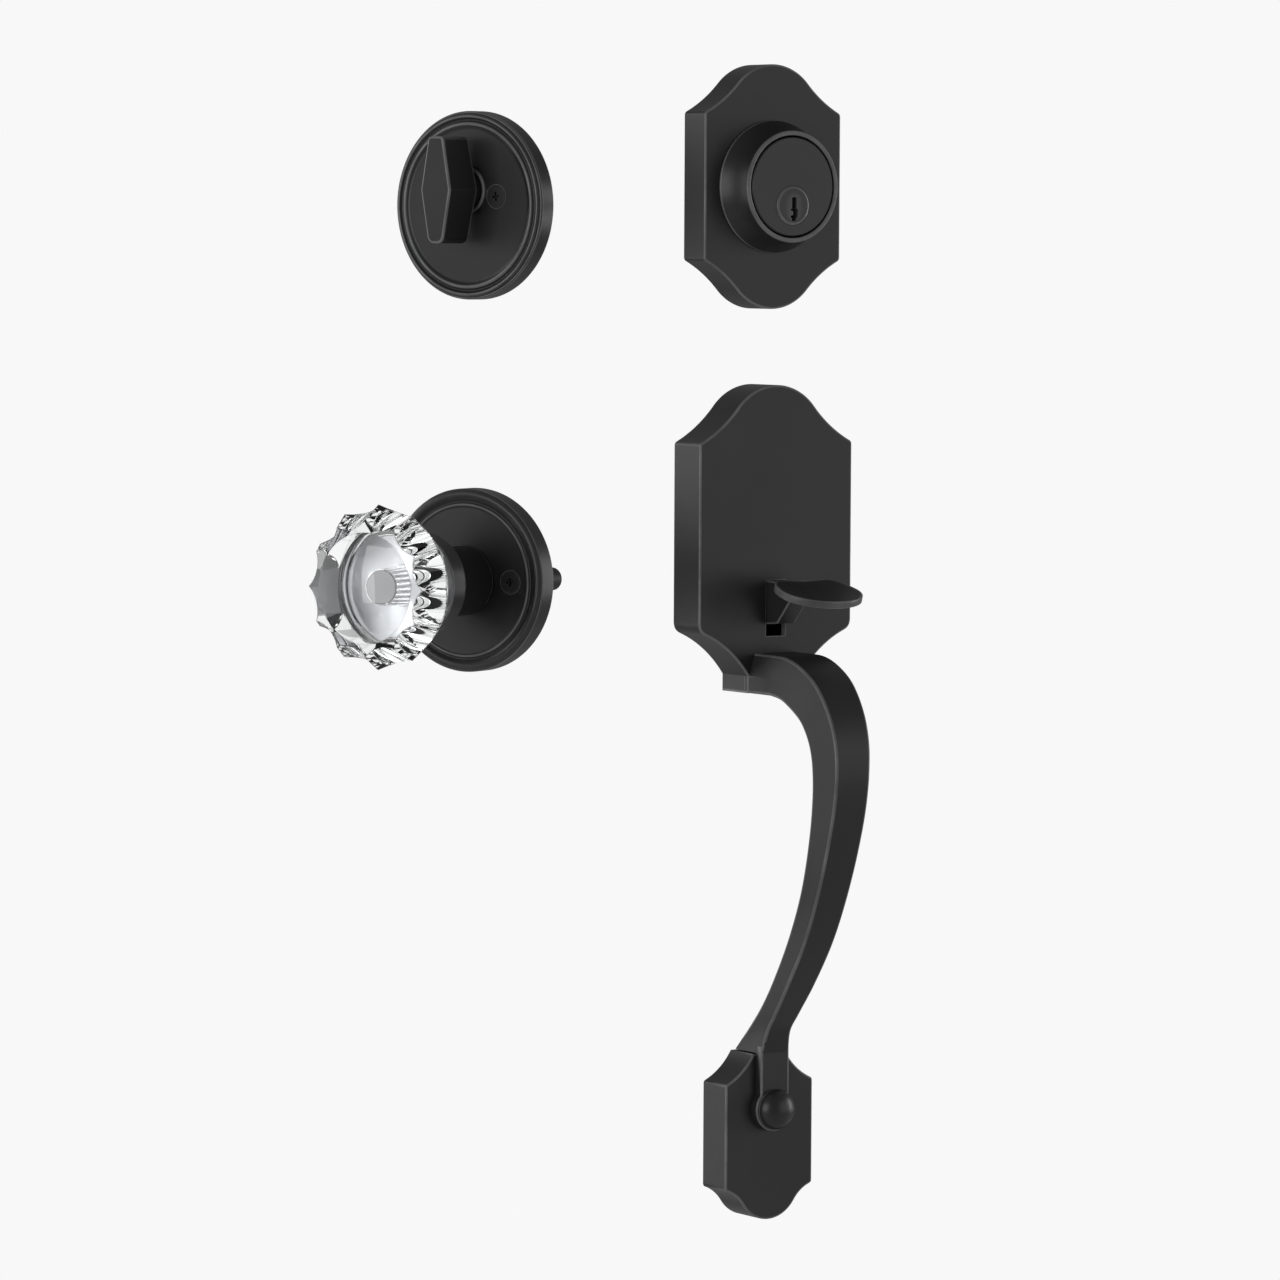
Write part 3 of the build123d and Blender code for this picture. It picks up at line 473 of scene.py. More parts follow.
def hollowLine(start, end, depth, count=24):
    a, b = Vector(start), Vector(end)
    along = (b - a).normalized()
    return arcPoints(a, (a + b) / 2 + Vector((along.y, -along.x)) * depth, b, count)


def mirrored(half):
    # closes a right-hand half, drawn upward from x = 0 to x = 0
    left = [Vector((-p.x, p.y)) for p in reversed(half) if p.x > 1e-6]
    return tidyLine(half + left)


def tidyLine(points):
    kept = []
    for p in points:
        if not kept or (p - kept[-1]).length > 1e-4:
            kept.append(p)
    if (kept[0] - kept[-1]).length < 1e-4:
        kept.pop()
    return kept


def bow(a, b, c, steps):
    # runs from a to c and leans toward b
    return [a * (1 - t) ** 2 + b * 2 * t * (1 - t) + c * t * t for t in spread(1, steps)]


def roundCorner(points, corner, radius, steps=8):
    # replaces the corner of an open run of points with an arc
    k = min(range(len(points)), key=lambda i: (points[i] - Vector(corner)).length)
    back, ahead = points[max(k - 4, 0)], points[min(k + 4, len(points) - 1)]
    u, w = (back - points[k]).normalized(), (ahead - points[k]).normalized()
    reach = radius / tan(max(u.angle(w), 1e-3) / 2)

    def walk(step):
        i, left = k, reach
        while 0 <= i + step < len(points) and (points[i + step] - points[i]).length < left:
            left -= (points[i + step] - points[i]).length
            i += step
        nxt = points[i + step]
        return i, points[i] + (nxt - points[i]).normalized() * left

    i, a = walk(-1)
    j, b = walk(1)
    return points[:i] + bow(a, points[k], b, steps) + points[j + 1:]


def softLine(points, radius, steps=5, closed=False):
    # rounds every corner of a line by its own or a shared radius
    pts = [Vector(p) for p in points]
    radii = radius if isinstance(radius, (list, tuple)) else [radius] * len(pts)
    out = []
    for i, p in enumerate(pts):
        if (not closed and i in (0, len(pts) - 1)) or radii[i] <= 0:
            out.append(p)
            continue
        a, b = pts[i - 1] - p, pts[(i + 1) % len(pts)] - p
        angle = a.angle(b)
        if angle > radians(176):
            out.append(p)
            continue
        reach = min(radii[i] / tan(angle / 2), a.length * 0.48, b.length * 0.48)
        r = reach * tan(angle / 2)
        bisector = (a.normalized() + b.normalized()).normalized()
        centre = p + bisector * (r / sin(angle / 2))
        first, last = p + a.normalized() * reach, p + b.normalized() * reach
        out += arcPoints(first, centre - bisector * r, last, steps)
    return tidyLine(out) if closed else out


def insetLine(points, amount):
    # moves a closed counter-clockwise line inward
    area = sum(p.x * q.y - q.x * p.y for p, q in zip(points, points[1:] + points[:1]))
    sign = 1 if area > 0 else -1
    moved = []
    for i, p in enumerate(points):
        a = (p - points[i - 1]).normalized()
        b = (points[(i + 1) % len(points)] - p).normalized()
        na, nb = Vector((-a.y, a.x)) * sign, Vector((-b.y, b.x)) * sign
        n = na + nb
        moved.append(p + n * (amount / max(1 + na.dot(nb), 0.3)))
    return moved


def clipBelow(points, level):
    kept = []
    for i, p in enumerate(points):
        q = points[(i + 1) % len(points)]
        if p.y >= level:
            kept.append(p)
        if (p.y >= level) != (q.y >= level):
            kept.append(p.lerp(q, (level - p.y) / (q.y - p.y)))
    return tidyLine(kept)


def circleLine(centre, radius, count):
    return [Vector(centre) + bearingOf(a) * radius for a in spread(2 * pi, count)[:-1]]


def supported(points, closed=False, near=0.35):
    # extra points just inside both ends of every long stretch, so that wear and painted highlight stay at its
    # edge
    pts = [Vector(p) for p in points]
    out = []
    for i, p in enumerate(pts):
        out.append(p)
        if i + 1 == len(pts) and not closed:
            break
        q = pts[(i + 1) % len(pts)]
        length = (q - p).length
        if length > 3.2 * near:
            out += [p.lerp(q, near / length), q.lerp(p, near / length)]
    return out


def bridge(bm, a, b):
    for i in range(len(a)):
        j = (i + 1) % len(a)
        bm.faces.new((a[i], a[j], b[j], b[i]))


def joinRings(bm, rings):
    # bridges rings of three-dimensional points, one after the other
    rows = [[bm.verts.new(p) for p in ring] for ring in rings]
    for a, b in zip(rows, rows[1:]):
        bridge(bm, a, b)
    return rows


def ringStack(bm, rings):
    # the same, closed at both ends
    rows = joinRings(bm, rings)
    bm.faces.new(rows[0])
    bm.faces.new(rows[-1])


def flatRings(rows):
    return [[(p.x, p.y, height) for p in line] for line, height in rows]


def joinLines(bm, rows):
    # the same with level lines and their heights; gives back the first and the last
    rings = joinRings(bm, flatRings(rows))
    return rings[0], rings[-1]


def joinCircles(bm, centre, rows, count):
    return joinLines(bm, [(circleLine(centre, radius, count), height) for radius, height in rows])


def fillBetween(bm, *rings):
    edges = [bm.edges.get(pair) for ring in rings for pair in zip(ring, ring[1:] + ring[:1])]
    bmesh.ops.triangle_fill(bm, use_beauty=True, edges=edges)


def roundOver(level, radius, steps=7):
    # inset and height up a rounded front edge
    return [(radius * (1 - cos(t)), level - radius + radius * sin(t)) for t in spread(pi / 2, steps)]


def roundUnder(level, radius):
    # the same up a rounded back edge
    return [(radius * (1 - sin(t)), level + radius * (1 - cos(t))) for t in spread(pi / 2, 4)]


def insetRows(outline, rows):
    # the outline drawn in by each row's inset, with its height
    return [(insetLine(outline, inset) if inset > 1e-6 else outline, height) for inset, height in rows]


supportGap = 0.35  # from an edge to the loop that keeps its wear and painted highlight narrow


def shelledPlate(bm, outline, inner, d, holes=(), bosses=()):
    # hollow-backed plate; a hole is a line through the sheet,
    # a boss is (centre, radius, back, bore, bore end)
    depth, edge, sheetBack = d.depth, d.edge, d.depth - d.wall
    rows = [(0, 0), (0, supportGap), (0, depth - edge - supportGap)] + roundOver(depth, edge)
    outline = supported(outline, True, edge + 0.6)
    rim, support = joinLines(bm, insetRows(outline, rows + [(edge + 0.25, depth)]))
    innerRim, innerTop = joinLines(bm, [(inner, 0), (inner, sheetBack)])
    fillBetween(bm, rim, innerRim)
    front, back = [support], [innerTop]
    for line in holes:
        high, low = joinLines(bm, [(insetLine(line, -supportGap), depth), (line, depth), (line, sheetBack)])
        front.append(high)
        back.append(low)
    for centre, radius, end, bore, boreEnd in bosses:
        rows = [(radius, sheetBack), (radius, end + 0.3), (radius - 0.3, end), (bore, end)]
        through = boreEnd is None
        rows += [(bore, depth), (bore + supportGap, depth)] if through else [(bore, boreEnd)]
        low, high = joinCircles(bm, centre, rows, 40)
        back.append(low)
        if through:
            front.append(high)
        else:
            bm.faces.new(high)
    fillBetween(bm, *front)
    fillBetween(bm, *back)


def turnedShape(bm, profile, count=128, centre=(0, 0), ring=False):
    # solid of revolution from (radius, height) points; a ring closes back on its start
    rows = []
    for r, h in supported(profile, ring):
        line = circleLine(centre, r, count) if r > 1e-6 else [Vector(centre)]
        rows.append([bm.verts.new((p.x, p.y, h)) for p in line])
    for a, b in zip(rows, rows[1:] + (rows[:1] if ring else [])):
        if len(a) == len(b) == 1:
            continue
        for i in range(count):
            j = (i + 1) % count
            corners = (a[i % len(a)], a[j % len(a)], b[j % len(b)], b[i % len(b)])
            bm.faces.new(list(dict.fromkeys(corners)))


def slab(bm, outline, hole, low, high, edge, point):
    # upright sheet between two heights with soft outer edges; point(p, height) places it
    rows = [(edge + 0.3, low)] + roundUnder(low, edge) + [(0, low + edge + 0.3), (0, high - edge - 0.3)]
    rows += roundOver(high, edge, 4) + [(edge + 0.3, high)]
    wide = insetLine(hole, -0.3)
    skin, bore = (joinRings(bm, [[point(p, height) for p in line] for line, height in lines]) for lines in (
        insetRows(outline, rows), ((wide, low), (hole, low), (hole, high), (wide, high))))
    for end in (0, -1):
        fillBetween(bm, skin[end], bore[end])


def cutHoles(piece, group, shapes):
    # takes closed shapes, each given as rings in the group's frame, out of a piece
    for rings in shapes:
        bm = bmesh.new()
        ringStack(bm, rings)
        bmesh.ops.transform(bm, matrix=places[group], verts=bm.verts)
        bmesh.ops.recalc_face_normals(bm, faces=bm.faces)
        mesh = meshFrom(bm, "cutter")
        tool = newObject("cutter", mesh)
        cut = piece.modifiers.new("cut", "BOOLEAN")
        cut.operation, cut.solver, cut.object = "DIFFERENCE", "EXACT", tool
        applyModifier(piece, cut)
        bpy.data.objects.remove(tool)
        bpy.data.meshes.remove(mesh)


# Outside deadbolt

deadbolt = {
    "width": 61.2, "halfHeight": 44.9, "corner": 27.0, "crownR": 21.5, "hollowR": 50.0,
    "cornerR": 1.8, "depth": 13.2, "wall": 2.6, "edge": 0.6, "opening": 36.7,
    "collarBase": 48.6, "collarFront": 41.0, "collarWaist": 0.7, "collarBore": 37.5,
    "front": 25.7, "rimWear": 0.6,
}


def makeDeadbolt(d):
    half = d.width / 2
    crown = crownPoints(half, d.corner, d.halfHeight, d.crownR, d.hollowR)
    upper = roundCorner([Vector((half, 0))] + crown, (half, d.corner), d.cornerR)
    right = [Vector((p.x, -p.y)) for p in reversed(upper)] + upper
    outline = mirrored(tidyLine(right))
    bm = bmesh.new()
    opening = circleLine((0, 0), d.opening / 2, 96)
    shelledPlate(bm, outline, insetLine(outline, d.wall), d, [opening])
    finishPiece("deadboltPlate", bm, "deadboltMiddle", ["deadbolt_plate"])

    base, top = d.collarBase / 2, d.collarFront / 2
    waist = ((base + top) / 2 - d.collarWaist, (d.depth + d.front) / 2)
    cone = arcPoints((base, d.depth + 0.9), waist, (top, d.front - 0.5), 40)
    bore = d.collarBore / 2
    lip = softLine([cone[-2], (top - 0.15, d.front), (bore, d.front), (bore, d.front - 3)], 0.45, 6)
    foot = softLine([(bore, d.depth), (base, d.depth), cone[0], cone[1]], 0.25, 4)
    bm = bmesh.new()
    turnedShape(bm, cone[:-2] + lip + foot[:-2], 180, ring=True)
    piece = finishPiece("cylinderCollar", bm, "deadboltMiddle", ["cylinder_collar"], "blackTurned")
    # less wear and painted highlight on the collar's front rim
    easeWearAndHighlight(piece, "deadboltMiddle", lambda q: d.rimWear if q.z > d.front - 1.0 else 1.0)


makeDeadbolt(Sizes(deadbolt))

# Key plug

plug = {
    "radius": 7.3, "back": -6.2, "front": 26.2, "bevel": 0.9, "keyDepth": 24.0, "lipWear": 0.3,
    "keyway": [(-0.6, 3.0), (1.3, 3.0), (1.3, -1.2), (1.9, -1.4), (1.8, -4.1), (1.15, -4.6), (1.15, -5.6),
               (-0.75, -5.6), (-0.7, -4.5), (-1.3, -4.3), (-1.3, -3.8), (-0.1, -3.5), (-0.1, -2.0),
               (-1.3, -1.75), (-1.25, -1.3), (-0.6, -1.2)],
}


def makePlug(d):
    keyway = list(reversed(softLine(d.keyway, 0.18, 3, True)))
    bm = bmesh.new()
    front, inner = d.front, d.radius - d.bevel
    wall = supported([(0.5, d.back), (d.radius, d.back), (d.radius, front - d.bevel)])
    wall += arcPoints((d.radius, front - d.bevel + 0.1), (inner + 0.62, front - 0.27), (inner, front), 6)
    base, flat = joinCircles(bm, (0, 0), wall + [(inner - 0.3, front)], 96)
    bm.faces.new(base)
    lines = [(insetLine(keyway, -0.15), front), (keyway, front - 0.1), (keyway, front - d.keyDepth)]
    lip, floor = joinLines(bm, lines)
    bm.faces.new(floor)
    fillBetween(bm, flat, lip)
    piece = finishPiece("keyPlug", bm, "deadboltAxis", ["cylinder_plug"], "blackTurned", "plug")
    # less wear and painted highlight on the lip round the keyway
    easeWearAndHighlight(piece, "deadboltAxis", lambda q: d.lipWear if hypot(q.x, q.y) < inner - 0.1 else 1.0)


makePlug(Sizes(plug))

# Outside handle: plate, posts, ears, grip and tab in one casting

handle = {
    "width": 68.7, "topCorner": 52.6, "apex": 73.8, "crownR": 22.5, "hollowR": 52.0, "lowCorner": -16.5,
    "cornerR": 4.6, "topCornerR": 1.8, "depth": 16.6, "wall": 2.6, "edge": 0.6,
    "tongueWidth": 24.4, "tongueShoulder": -33.3, "tongueBottom": -39.6, "tongueHollow": 2.2,
    "cavityBottom": -25.0, "postSpacing": 40.8, "postR": 4.65, "postBack": -12.0, "threadR": 2.1,
    "threadEnd": 10.0, "slotWidth": 8.8, "slotLow": -18.8, "slotHigh": 1.8,
    "earGap": 11.0, "earWidth": 3.0, "earR": 4.6, "pivotOut": 6.0, "pivotUp": -2.0, "pinR": 2.05,
    "tabWidth": 12.6, "tabTop": -171.0, "eyeR": 8.3, "footZ": -194.7, "tabBack": 14.6, "tabFront": 18.2,
    # inner edge (out, up), outer edge (out, up), inner width, width at the knee, outer width
    "grip": [
        ((14.0, -39.6), (14.0, -25.0), 24.44, 24.44, 19.0),
        ((28.0, -39.8), (28.0, -25.0), 22.4, 20.8, 18.7),
        ((33.8, -41.0), (35.0, -25.4), 21.4, 20.2, 18.6),
        ((38.6, -43.4), (42.2, -27.4), 20.8, 19.7, 18.3),
        ((45.6, -48.4), (52.9, -33.6), 20.0, 19.0, 17.6),
        ((49.8, -54.9), (60.9, -43.8), 19.3, 18.1, 16.6),
        ((51.6, -61.0), (64.8, -54.0), 18.8, 17.5, 15.8),
        ((52.2, -67.5), (65.7, -64.5), 18.5, 17.1, 15.2),
        ((51.9, -76.0), (64.4, -77.0), 18.1, 16.8, 15.0),
        ((49.9, -90.0), (60.6, -92.0), 17.6, 16.4, 14.8),
        ((44.7, -109.5), (53.6, -112.1), 16.8, 15.6, 14.1),
        ((36.8, -126.6), (44.9, -130.6), 15.2, 14.5, 13.6),
        ((27.0, -142.9), (33.8, -147.6), 13.9, 13.5, 12.9),
        ((18.0, -155.1), (25.2, -159.2), 12.8, 12.3, 11.6),
        ((10.5, -163.7), (20.6, -165.4), 12.8, 12.1, 11.2),
        ((1.0, -173.6), (18.2, -173.6), 13.0, 12.8, 12.6),
    ],
    "kneeAlong": 0.43, "gripEdge": 1.1, "rowsPerSpan": 9,
}


def gripRing(row, along, radius):
    inOut, inUp, outOut, outUp, inW, kneeW, outW = row
    inner, outer = Vector((inOut, inUp)), Vector((outOut, outUp))
    length = (outer - inner).length
    way = (outer - inner) / length
    corners = [(-inW / 2, 0), (inW / 2, 0), (kneeW / 2, along * length), (outW / 2, length),
               (-outW / 2, length), (-kneeW / 2, along * length)]
    flat = supported(softLine(corners, [radius, radius, 0, radius, radius, 0], 7, closed=True), True, 0.3)
    return [(p.x, q.y, q.x) for p, q in ((p, inner + way * p.y) for p in flat)]


def hermite(t):
    # weights of the first value and slope, then of the last value and slope
    return 2 * t**3 - 3 * t**2 + 1, t**3 - 2 * t**2 + t, -2 * t**3 + 3 * t**2, t**3 - t**2


def smoothRows(stations, perSpan):
    # even curve through the stations, after a straight first span
    rows = [[*s[0], *s[1], *s[2:]] for s in stations]
    knots = [0.0]
    for a, b in zip(rows, rows[1:]):
        knots.append(knots[-1] + sqrt(hypot(b[0] + b[2] - a[0] - a[2], b[1] + b[3] - a[1] - a[3])))
    slopes = []
    for i in range(len(rows)):
        if i == 0 or i == len(rows) - 1:
            j = 0 if i == 0 else i - 1
            slopes.append([(q - p) / (knots[j + 1] - knots[j]) for p, q in zip(rows[j], rows[j + 1])])
            continue
        h0, h1 = knots[i] - knots[i - 1], knots[i + 1] - knots[i]
        slopes.append([((q - p) / h0 * h1 + (r - q) / h1 * h0) / (h0 + h1)
                       for p, q, r in zip(rows[i - 1], rows[i], rows[i + 1])])
    out = [rows[0]]
    for i in range(len(rows) - 1):
        h = knots[i + 1] - knots[i]
        for step in range(1, perSpan + 1):
            t = step / perSpan
            if i == 0:
                out.append([p + (q - p) * t for p, q in zip(rows[0], rows[1])])
                continue
            a, b, c, d = hermite(t)
            start = slopes[i] if i > 1 else [(q - p) / h for p, q in zip(rows[1], rows[2])]
            out.append([a * p + b * h * m + c * q + d * h * n
                        for p, q, m, n in zip(rows[i], rows[i + 1], start, slopes[i + 1])])
    return out


def makeHandle(d):
    half, tongue = d.width / 2, d.tongueWidth / 2
    crown = crownPoints(half, d.topCorner, d.apex, d.crownR, d.hollowR)
    sweep = hollowLine((half, d.lowCorner), (tongue, d.tongueShoulder), d.tongueHollow)
    right = [Vector((0, d.tongueBottom)), Vector((tongue, d.tongueBottom))] + list(reversed(sweep))
    right = roundCorner(right + crown, (half, d.lowCorner), d.cornerR)
    right = roundCorner(right, (half, d.topCorner), d.topCornerR)
    outline = mirrored(tidyLine(right))
    inner = clipBelow(insetLine(outline, d.wall), d.cavityBottom)
    w = d.slotWidth / 2
    corners = [(w, d.slotLow), (w, d.slotHigh), (-w, d.slotHigh), (-w, d.slotLow)]
    posts = [((side * d.postSpacing / 2, 0), d.postR, d.postBack, d.threadR, d.threadEnd)
             for side in (-1, 1)]
    bm = bmesh.new()
    shelledPlate(bm, outline, inner, d, [softLine(corners, 0.4, 4, True)], posts)
    top = d.depth - d.wall + 0.4
    ear = [Vector((d.pivotOut - d.earR * sin(t), d.pivotUp + d.earR * cos(t)))
           for t in spread(pi, 24)]
    ear += [Vector((top, d.pivotUp - d.earR)), Vector((top, d.pivotUp + d.earR))]
    pin = circleLine((d.pivotOut, d.pivotUp), d.pinR, 32)
    for side in (-1, 1):  # ears for the pivot pin
        x0 = side * (d.earGap + d.earWidth) / 2
        slab(bm, ear, pin, x0 - d.earWidth / 2, x0 + d.earWidth / 2, 0.2, lambda p, x: (x, p.y, p.x))
    rows = smoothRows(d.grip, d.rowsPerSpan)
    ringStack(bm, [gripRing(row, d.kneeAlong, d.gripEdge) for row in rows])
    # tab with a round eye under the domed screw
    t, r = d.tabWidth / 2, d.eyeR
    join = sqrt(r * r - t * t)
    eye = arcPoints((t, d.footZ + join), (0, d.footZ - r), (-t, d.footZ + join), 48)
    tab = tidyLine([Vector((-t, d.tabTop)), Vector((t, d.tabTop))] + eye)[::-1]
    rows = [(0, d.tabBack), (0, d.tabFront - 0.95)] + roundOver(d.tabFront, 0.6, 5) + [(0.95, d.tabFront)]
    ringStack(bm, flatRings(insetRows(tab, rows)))
    piece = finishPiece("handleCasting", bm, "handle", ["handle_casting"])
    join, inside, tabBack = d.grip[-1][0][1], t - 0.9, d.tabBack

    def rubbedAndHighlit(q):  # no wear or painted highlight where the grip runs into the tab, or at the tab's back
        if abs(q.y - join) < 0.6 or (join < q.y < join + 4.5 and abs(q.x) < inside):
            return 0.0
        return 0.0 if q.y < join + 4.5 and q.z < tabBack + 0.5 else 1.0

    easeWearAndHighlight(piece, "handle", rubbedAndHighlit)


makeHandle(Sizes(handle))

# Lower plate and its domed screw

foot = {
    "width": 39.4, "depth": 14.6, "wall": 2.6, "edge": 0.6, "cornerR": 1.5, "top": -174.1,
    "topWidth": 14.8, "topCorner": -184.8, "topHollow": 1.3,
    "lowCorner": -224.2, "apex": -236.4, "crownR": 14.0, "hollowR": 15.0,
    "bossR": 5.5, "boreR": 2.7, "domeR": 7.5, "domeRise": 6.2, "domeStep": 0.8, "screwR": 2.5,
    "threadR": 2.3, "screwBack": -18.0,
}


def makeFoot(d, tabFront, footZ):
    half, top = d.width / 2, d.topWidth / 2
    crown = crownPoints(half, d.lowCorner, d.apex, d.crownR, d.hollowR, up=-1)
    shoulder = hollowLine((top, d.top), (half, d.topCorner), d.topHollow)
    right = crown[::-1] + shoulder[::-1] + [Vector((0, d.top))]
    for corner in ((half, d.lowCorner), (half, d.topCorner)):
        right = roundCorner(right, corner, d.cornerR)
    outline = mirrored(tidyLine(right))
    bm = bmesh.new()
    bosses = [((0, footZ), d.bossR, 0.0, d.boreR, None)]
    shelledPlate(bm, outline, insetLine(outline, d.wall), d, (), bosses)
    finishPiece("lowerPlate", bm, "handle", ["lower_plate"])

    bm = bmesh.new()
    low, rise = tabFront + d.domeStep, d.domeRise - d.domeStep
    dome = [(d.domeR * cos(t), low + rise * sin(t)) for t in spread(pi / 2, 28)]
    dome[-1] = (0, tabFront + d.domeRise)
    under = [(0, d.screwBack), (d.threadR, d.screwBack), (d.threadR, 0), (d.screwR, 0),
             (d.screwR, tabFront), (d.domeR, tabFront), dome[0]]
    turnedShape(bm, softLine(under, [0, 0.5, 0, 0.1, 0, 0.2, 0], 4) + dome[1:], 96, (0, footZ))
    finishPiece("footDomeScrew", bm, "handle", ["foot_dome_screw"], "blackTurned")


makeFoot(Sizes(foot), handle["tabFront"], handle["footZ"])

# Thumb lever

lever = {
    "halfWidth": 16.7, "reach": 57.2, "back": 33.0, "backWidth": 22.0, "middle": 45.0, "height": -0.6,
    "slope": 15.5, "thickness": 2.8, "dish": 1.3, "dishR": 90.0, "rim": 0.45,
    "stemWidth": 8.0, "stem": [(31.5, -4.6), (23.0, -13.8), (16.0, -14.4), (5.0, -8.0)],
    "stemTop": 1.3, "hubR": 4.4, "pivotOut": 6.0, "pivotUp": -2.0,
    "armReach": -20.0, "armLow": -3.0, "armHigh": 1.0, "pinR": 2.05,
    "flankIn": 14.0, "flankUp": 12.0, "flankEnd": 7.0,  # how hard the flanks pull at their ends
    "wear": 0.6,
}


def makeThumbLever(d):
    s = radians(d.slope)
    front = (d.reach - d.middle) / cos(s)
    back = (d.middle - d.back) / cos(s)
    w, bw = d.halfWidth, d.backWidth / 2
    half = [Vector((w * sin(t), -front * cos(t))) for t in spread(pi / 2, 36)]
    for t in spread(1, 24)[1:]:  # flank that draws in toward the plate
        a, b, c, e = hermite(t)
        half.append(Vector((a * w + c * bw - e * d.flankIn, b * d.flankUp + c * back + e * d.flankEnd)))
    outline = mirrored(tidyLine(half + [Vector((0, back))]))

    def point(p, z):  # on the paddle's plane, into door coordinates
        return (p.x, d.height + p.y * sin(s) + z * cos(s),
                d.middle - p.y * cos(s) + z * sin(s))

    r, thick = d.rim, d.thickness
    rims = insetRows(outline, [(r + supportGap, -thick)] + roundUnder(-thick, r) + roundOver(0, r, 4))
    rings = [[point(p, z) for p in line] for line, z in rims]
    edgeLine = insetLine(outline, r)
    for k in range(1, 20):  # dished top
        line = [p * (1 - k / 20) for p in edgeLine]
        rings.append([point(q, min(0.0, q.length_squared / (2 * d.dishR) - d.dish)) for q in line])
    bm = bmesh.new()
    rows = joinRings(bm, rings)
    bm.faces.new(rows[0])
    centre = bm.verts.new(point(Vector((0, 0)), -d.dish))
    for v, w in zip(rows[-1], rows[-1][1:] + rows[-1][:1]):
        bm.faces.new((v, w, centre))

    # wedge stem, hub and latch arm in one upright web
    side = [*d.stem, (d.pivotOut, d.pivotUp - d.hubR), (d.pivotOut - d.hubR, d.armLow - 0.3),
            (d.armReach, d.armLow), (d.armReach, d.armHigh), (d.pivotOut, d.armHigh + 1.0),
            (d.back, d.stemTop), (d.middle, d.height - thick * 0.55)]
    web = softLine(side, [0.6, 1.6, 1.6, 0.8, 1.5, 1.0, 0.6, 0.6, 2.0, 0.6, 0.2], 5, True)
    pin = circleLine((d.pivotOut, d.pivotUp), d.pinR, 40)
    half = d.stemWidth / 2
    slab(bm, web, pin, -half, half, 0.4, lambda p, x: (x, p.y, p.x))
    piece = finishPiece("thumbLever", bm, "handle", ["thumb_lever"], "black", "thumb")
    # less wear and painted highlight all over the lever
    easeWearAndHighlight(piece, "handle", lambda q: d.wear)


makeThumbLever(Sizes(lever))

# Inside rosettes

rosettes = {
    "thumbturn": {
        "profile": [(35.0, 0.0), (35.0, 6.4), (34.5, 7.1), (34.1, 7.0), (33.7, 7.7), (33.0, 8.2), (32.4, 7.7),
                    (31.9, 7.1), (31.3, 7.1), (30.8, 7.9), (30.1, 8.2), (29.3, 7.8), (28.6, 7.2)],
        "field": 7.2, "sheet": 1.4, "screwsAt": (13.3, 3.3),
        "neck": ((0, 5.6), 7.4, 8.7, 1.3),  # middle, radius, boss radius, boss rise
        "headR": 4.32, "shaftR": 2.78,
    },
    "knob": {
        "profile": [(34.3, 0.0), (34.3, 7.4), (33.7, 8.5), (32.6, 9.1), (31.3, 9.0), (30.3, 8.4), (29.6, 7.9),
                    (29.0, 8.0), (28.6, 8.7), (28.1, 8.7), (27.6, 8.2)],
        "field": 8.2, "sheet": 1.4, "screwsAt": (20.4, 0),
        "neck": ((0, 0), 9.4, 0, 0),
        "headR": 4.32, "shaftR": 2.78,
    },
}


def bezierLine(points, perCorner=5):
    # softens a chain of corners by running arcs through their midpoints
    pts = [Vector(p) for p in points]
    middles = [bow((a + b) / 2, b, (b + c) / 2, perCorner) for a, b, c in zip(pts, pts[1:], pts[2:])]
    return [pts[0]] + [p for run in middles for p in run] + [pts[-1]]


def makeRosette(name, d, nodes):
    # open sheet with a moulded rim, a neck and two countersunk holes
    field, low, headR = d.field, d.field - d.sheet, d.headR
    depth, rim = max(p[1] for p in d.profile), d.profile[0][0]
    moulding = bezierLine([*d.profile[1:], (d.profile[-1][0] - 1.2, field)])
    rimBack = rim - d.sheet
    back = [(rim - 3 * d.sheet, low), (rimBack, depth - 3 * d.sheet), (rimBack, 0), (rim - 0.25, 0)]
    centre, radius, bossR, rise = d.neck
    if rise:
        lip = [(radius, field), (radius, field + rise), (bossR, field + rise), (bossR, field)]
        lip = softLine(lip, [0, 0.4, 1.2, 0], 8) + [(bossR + supportGap, field)]
    else:
        lip = [(radius, field - 0.3), (radius + 0.3, field), (radius + 0.7, field)]
    screw = [(d.shaftR, low), (headR - 0.07, field - 0.1), (headR, field), (headR + 0.3, field)]
    x, y = d.screwsAt
    bm = bmesh.new()
    skin = supported([(rim, 0.25)] + moulding)
    rear, front = ([ring] for ring in joinCircles(bm, (0, 0), back + skin, 180))
    for at, rows, count in ((-x, y), screw, 48), ((x, y), screw, 48), (centre, [(radius, low)] + lip, 96):
        first, last = joinCircles(bm, at, rows, count)
        rear.append(first)
        front.append(last)
    fillBetween(bm, *front)
    fillBetween(bm, *rear)
    finishPiece(name + "Rosette", bm, name, nodes, "blackTurned")


makeRosette("thumbturn", Sizes(rosettes["thumbturn"]), ["thumbturn_rosette"])
makeRosette("knob", Sizes(rosettes["knob"]), ["knob_rosette"])

# Cross-recessed screws, one tree for both pairs

screws = {
    "sizes": {
        "Head Radius": 4.2, "Shank Radius": 2.5, "Thread Radius": 2.3, "Head Depth": 1.3,
        "Recess Length": 3.3, "Recess Width": 0.8, "Recess Depth": 1.1,
    },
    "turn": 8,  # degrees the recesses stand turned
    "pairSizes": ("Half Spacing", "Rise", "Top", "Shoulder", "Length"),
    "pairs": {
        # name: group, node, then the sizes above
        "thumbturnScrews": ("thumbturn", ["thumbturn_screws"], 13.3, 3.3, 7.4, 7.2, 31.4),
        "knobScrews": ("knob", ["knob_screws"], 20.4, 0.0, 8.4, 8.2, 15.4),
    },
}


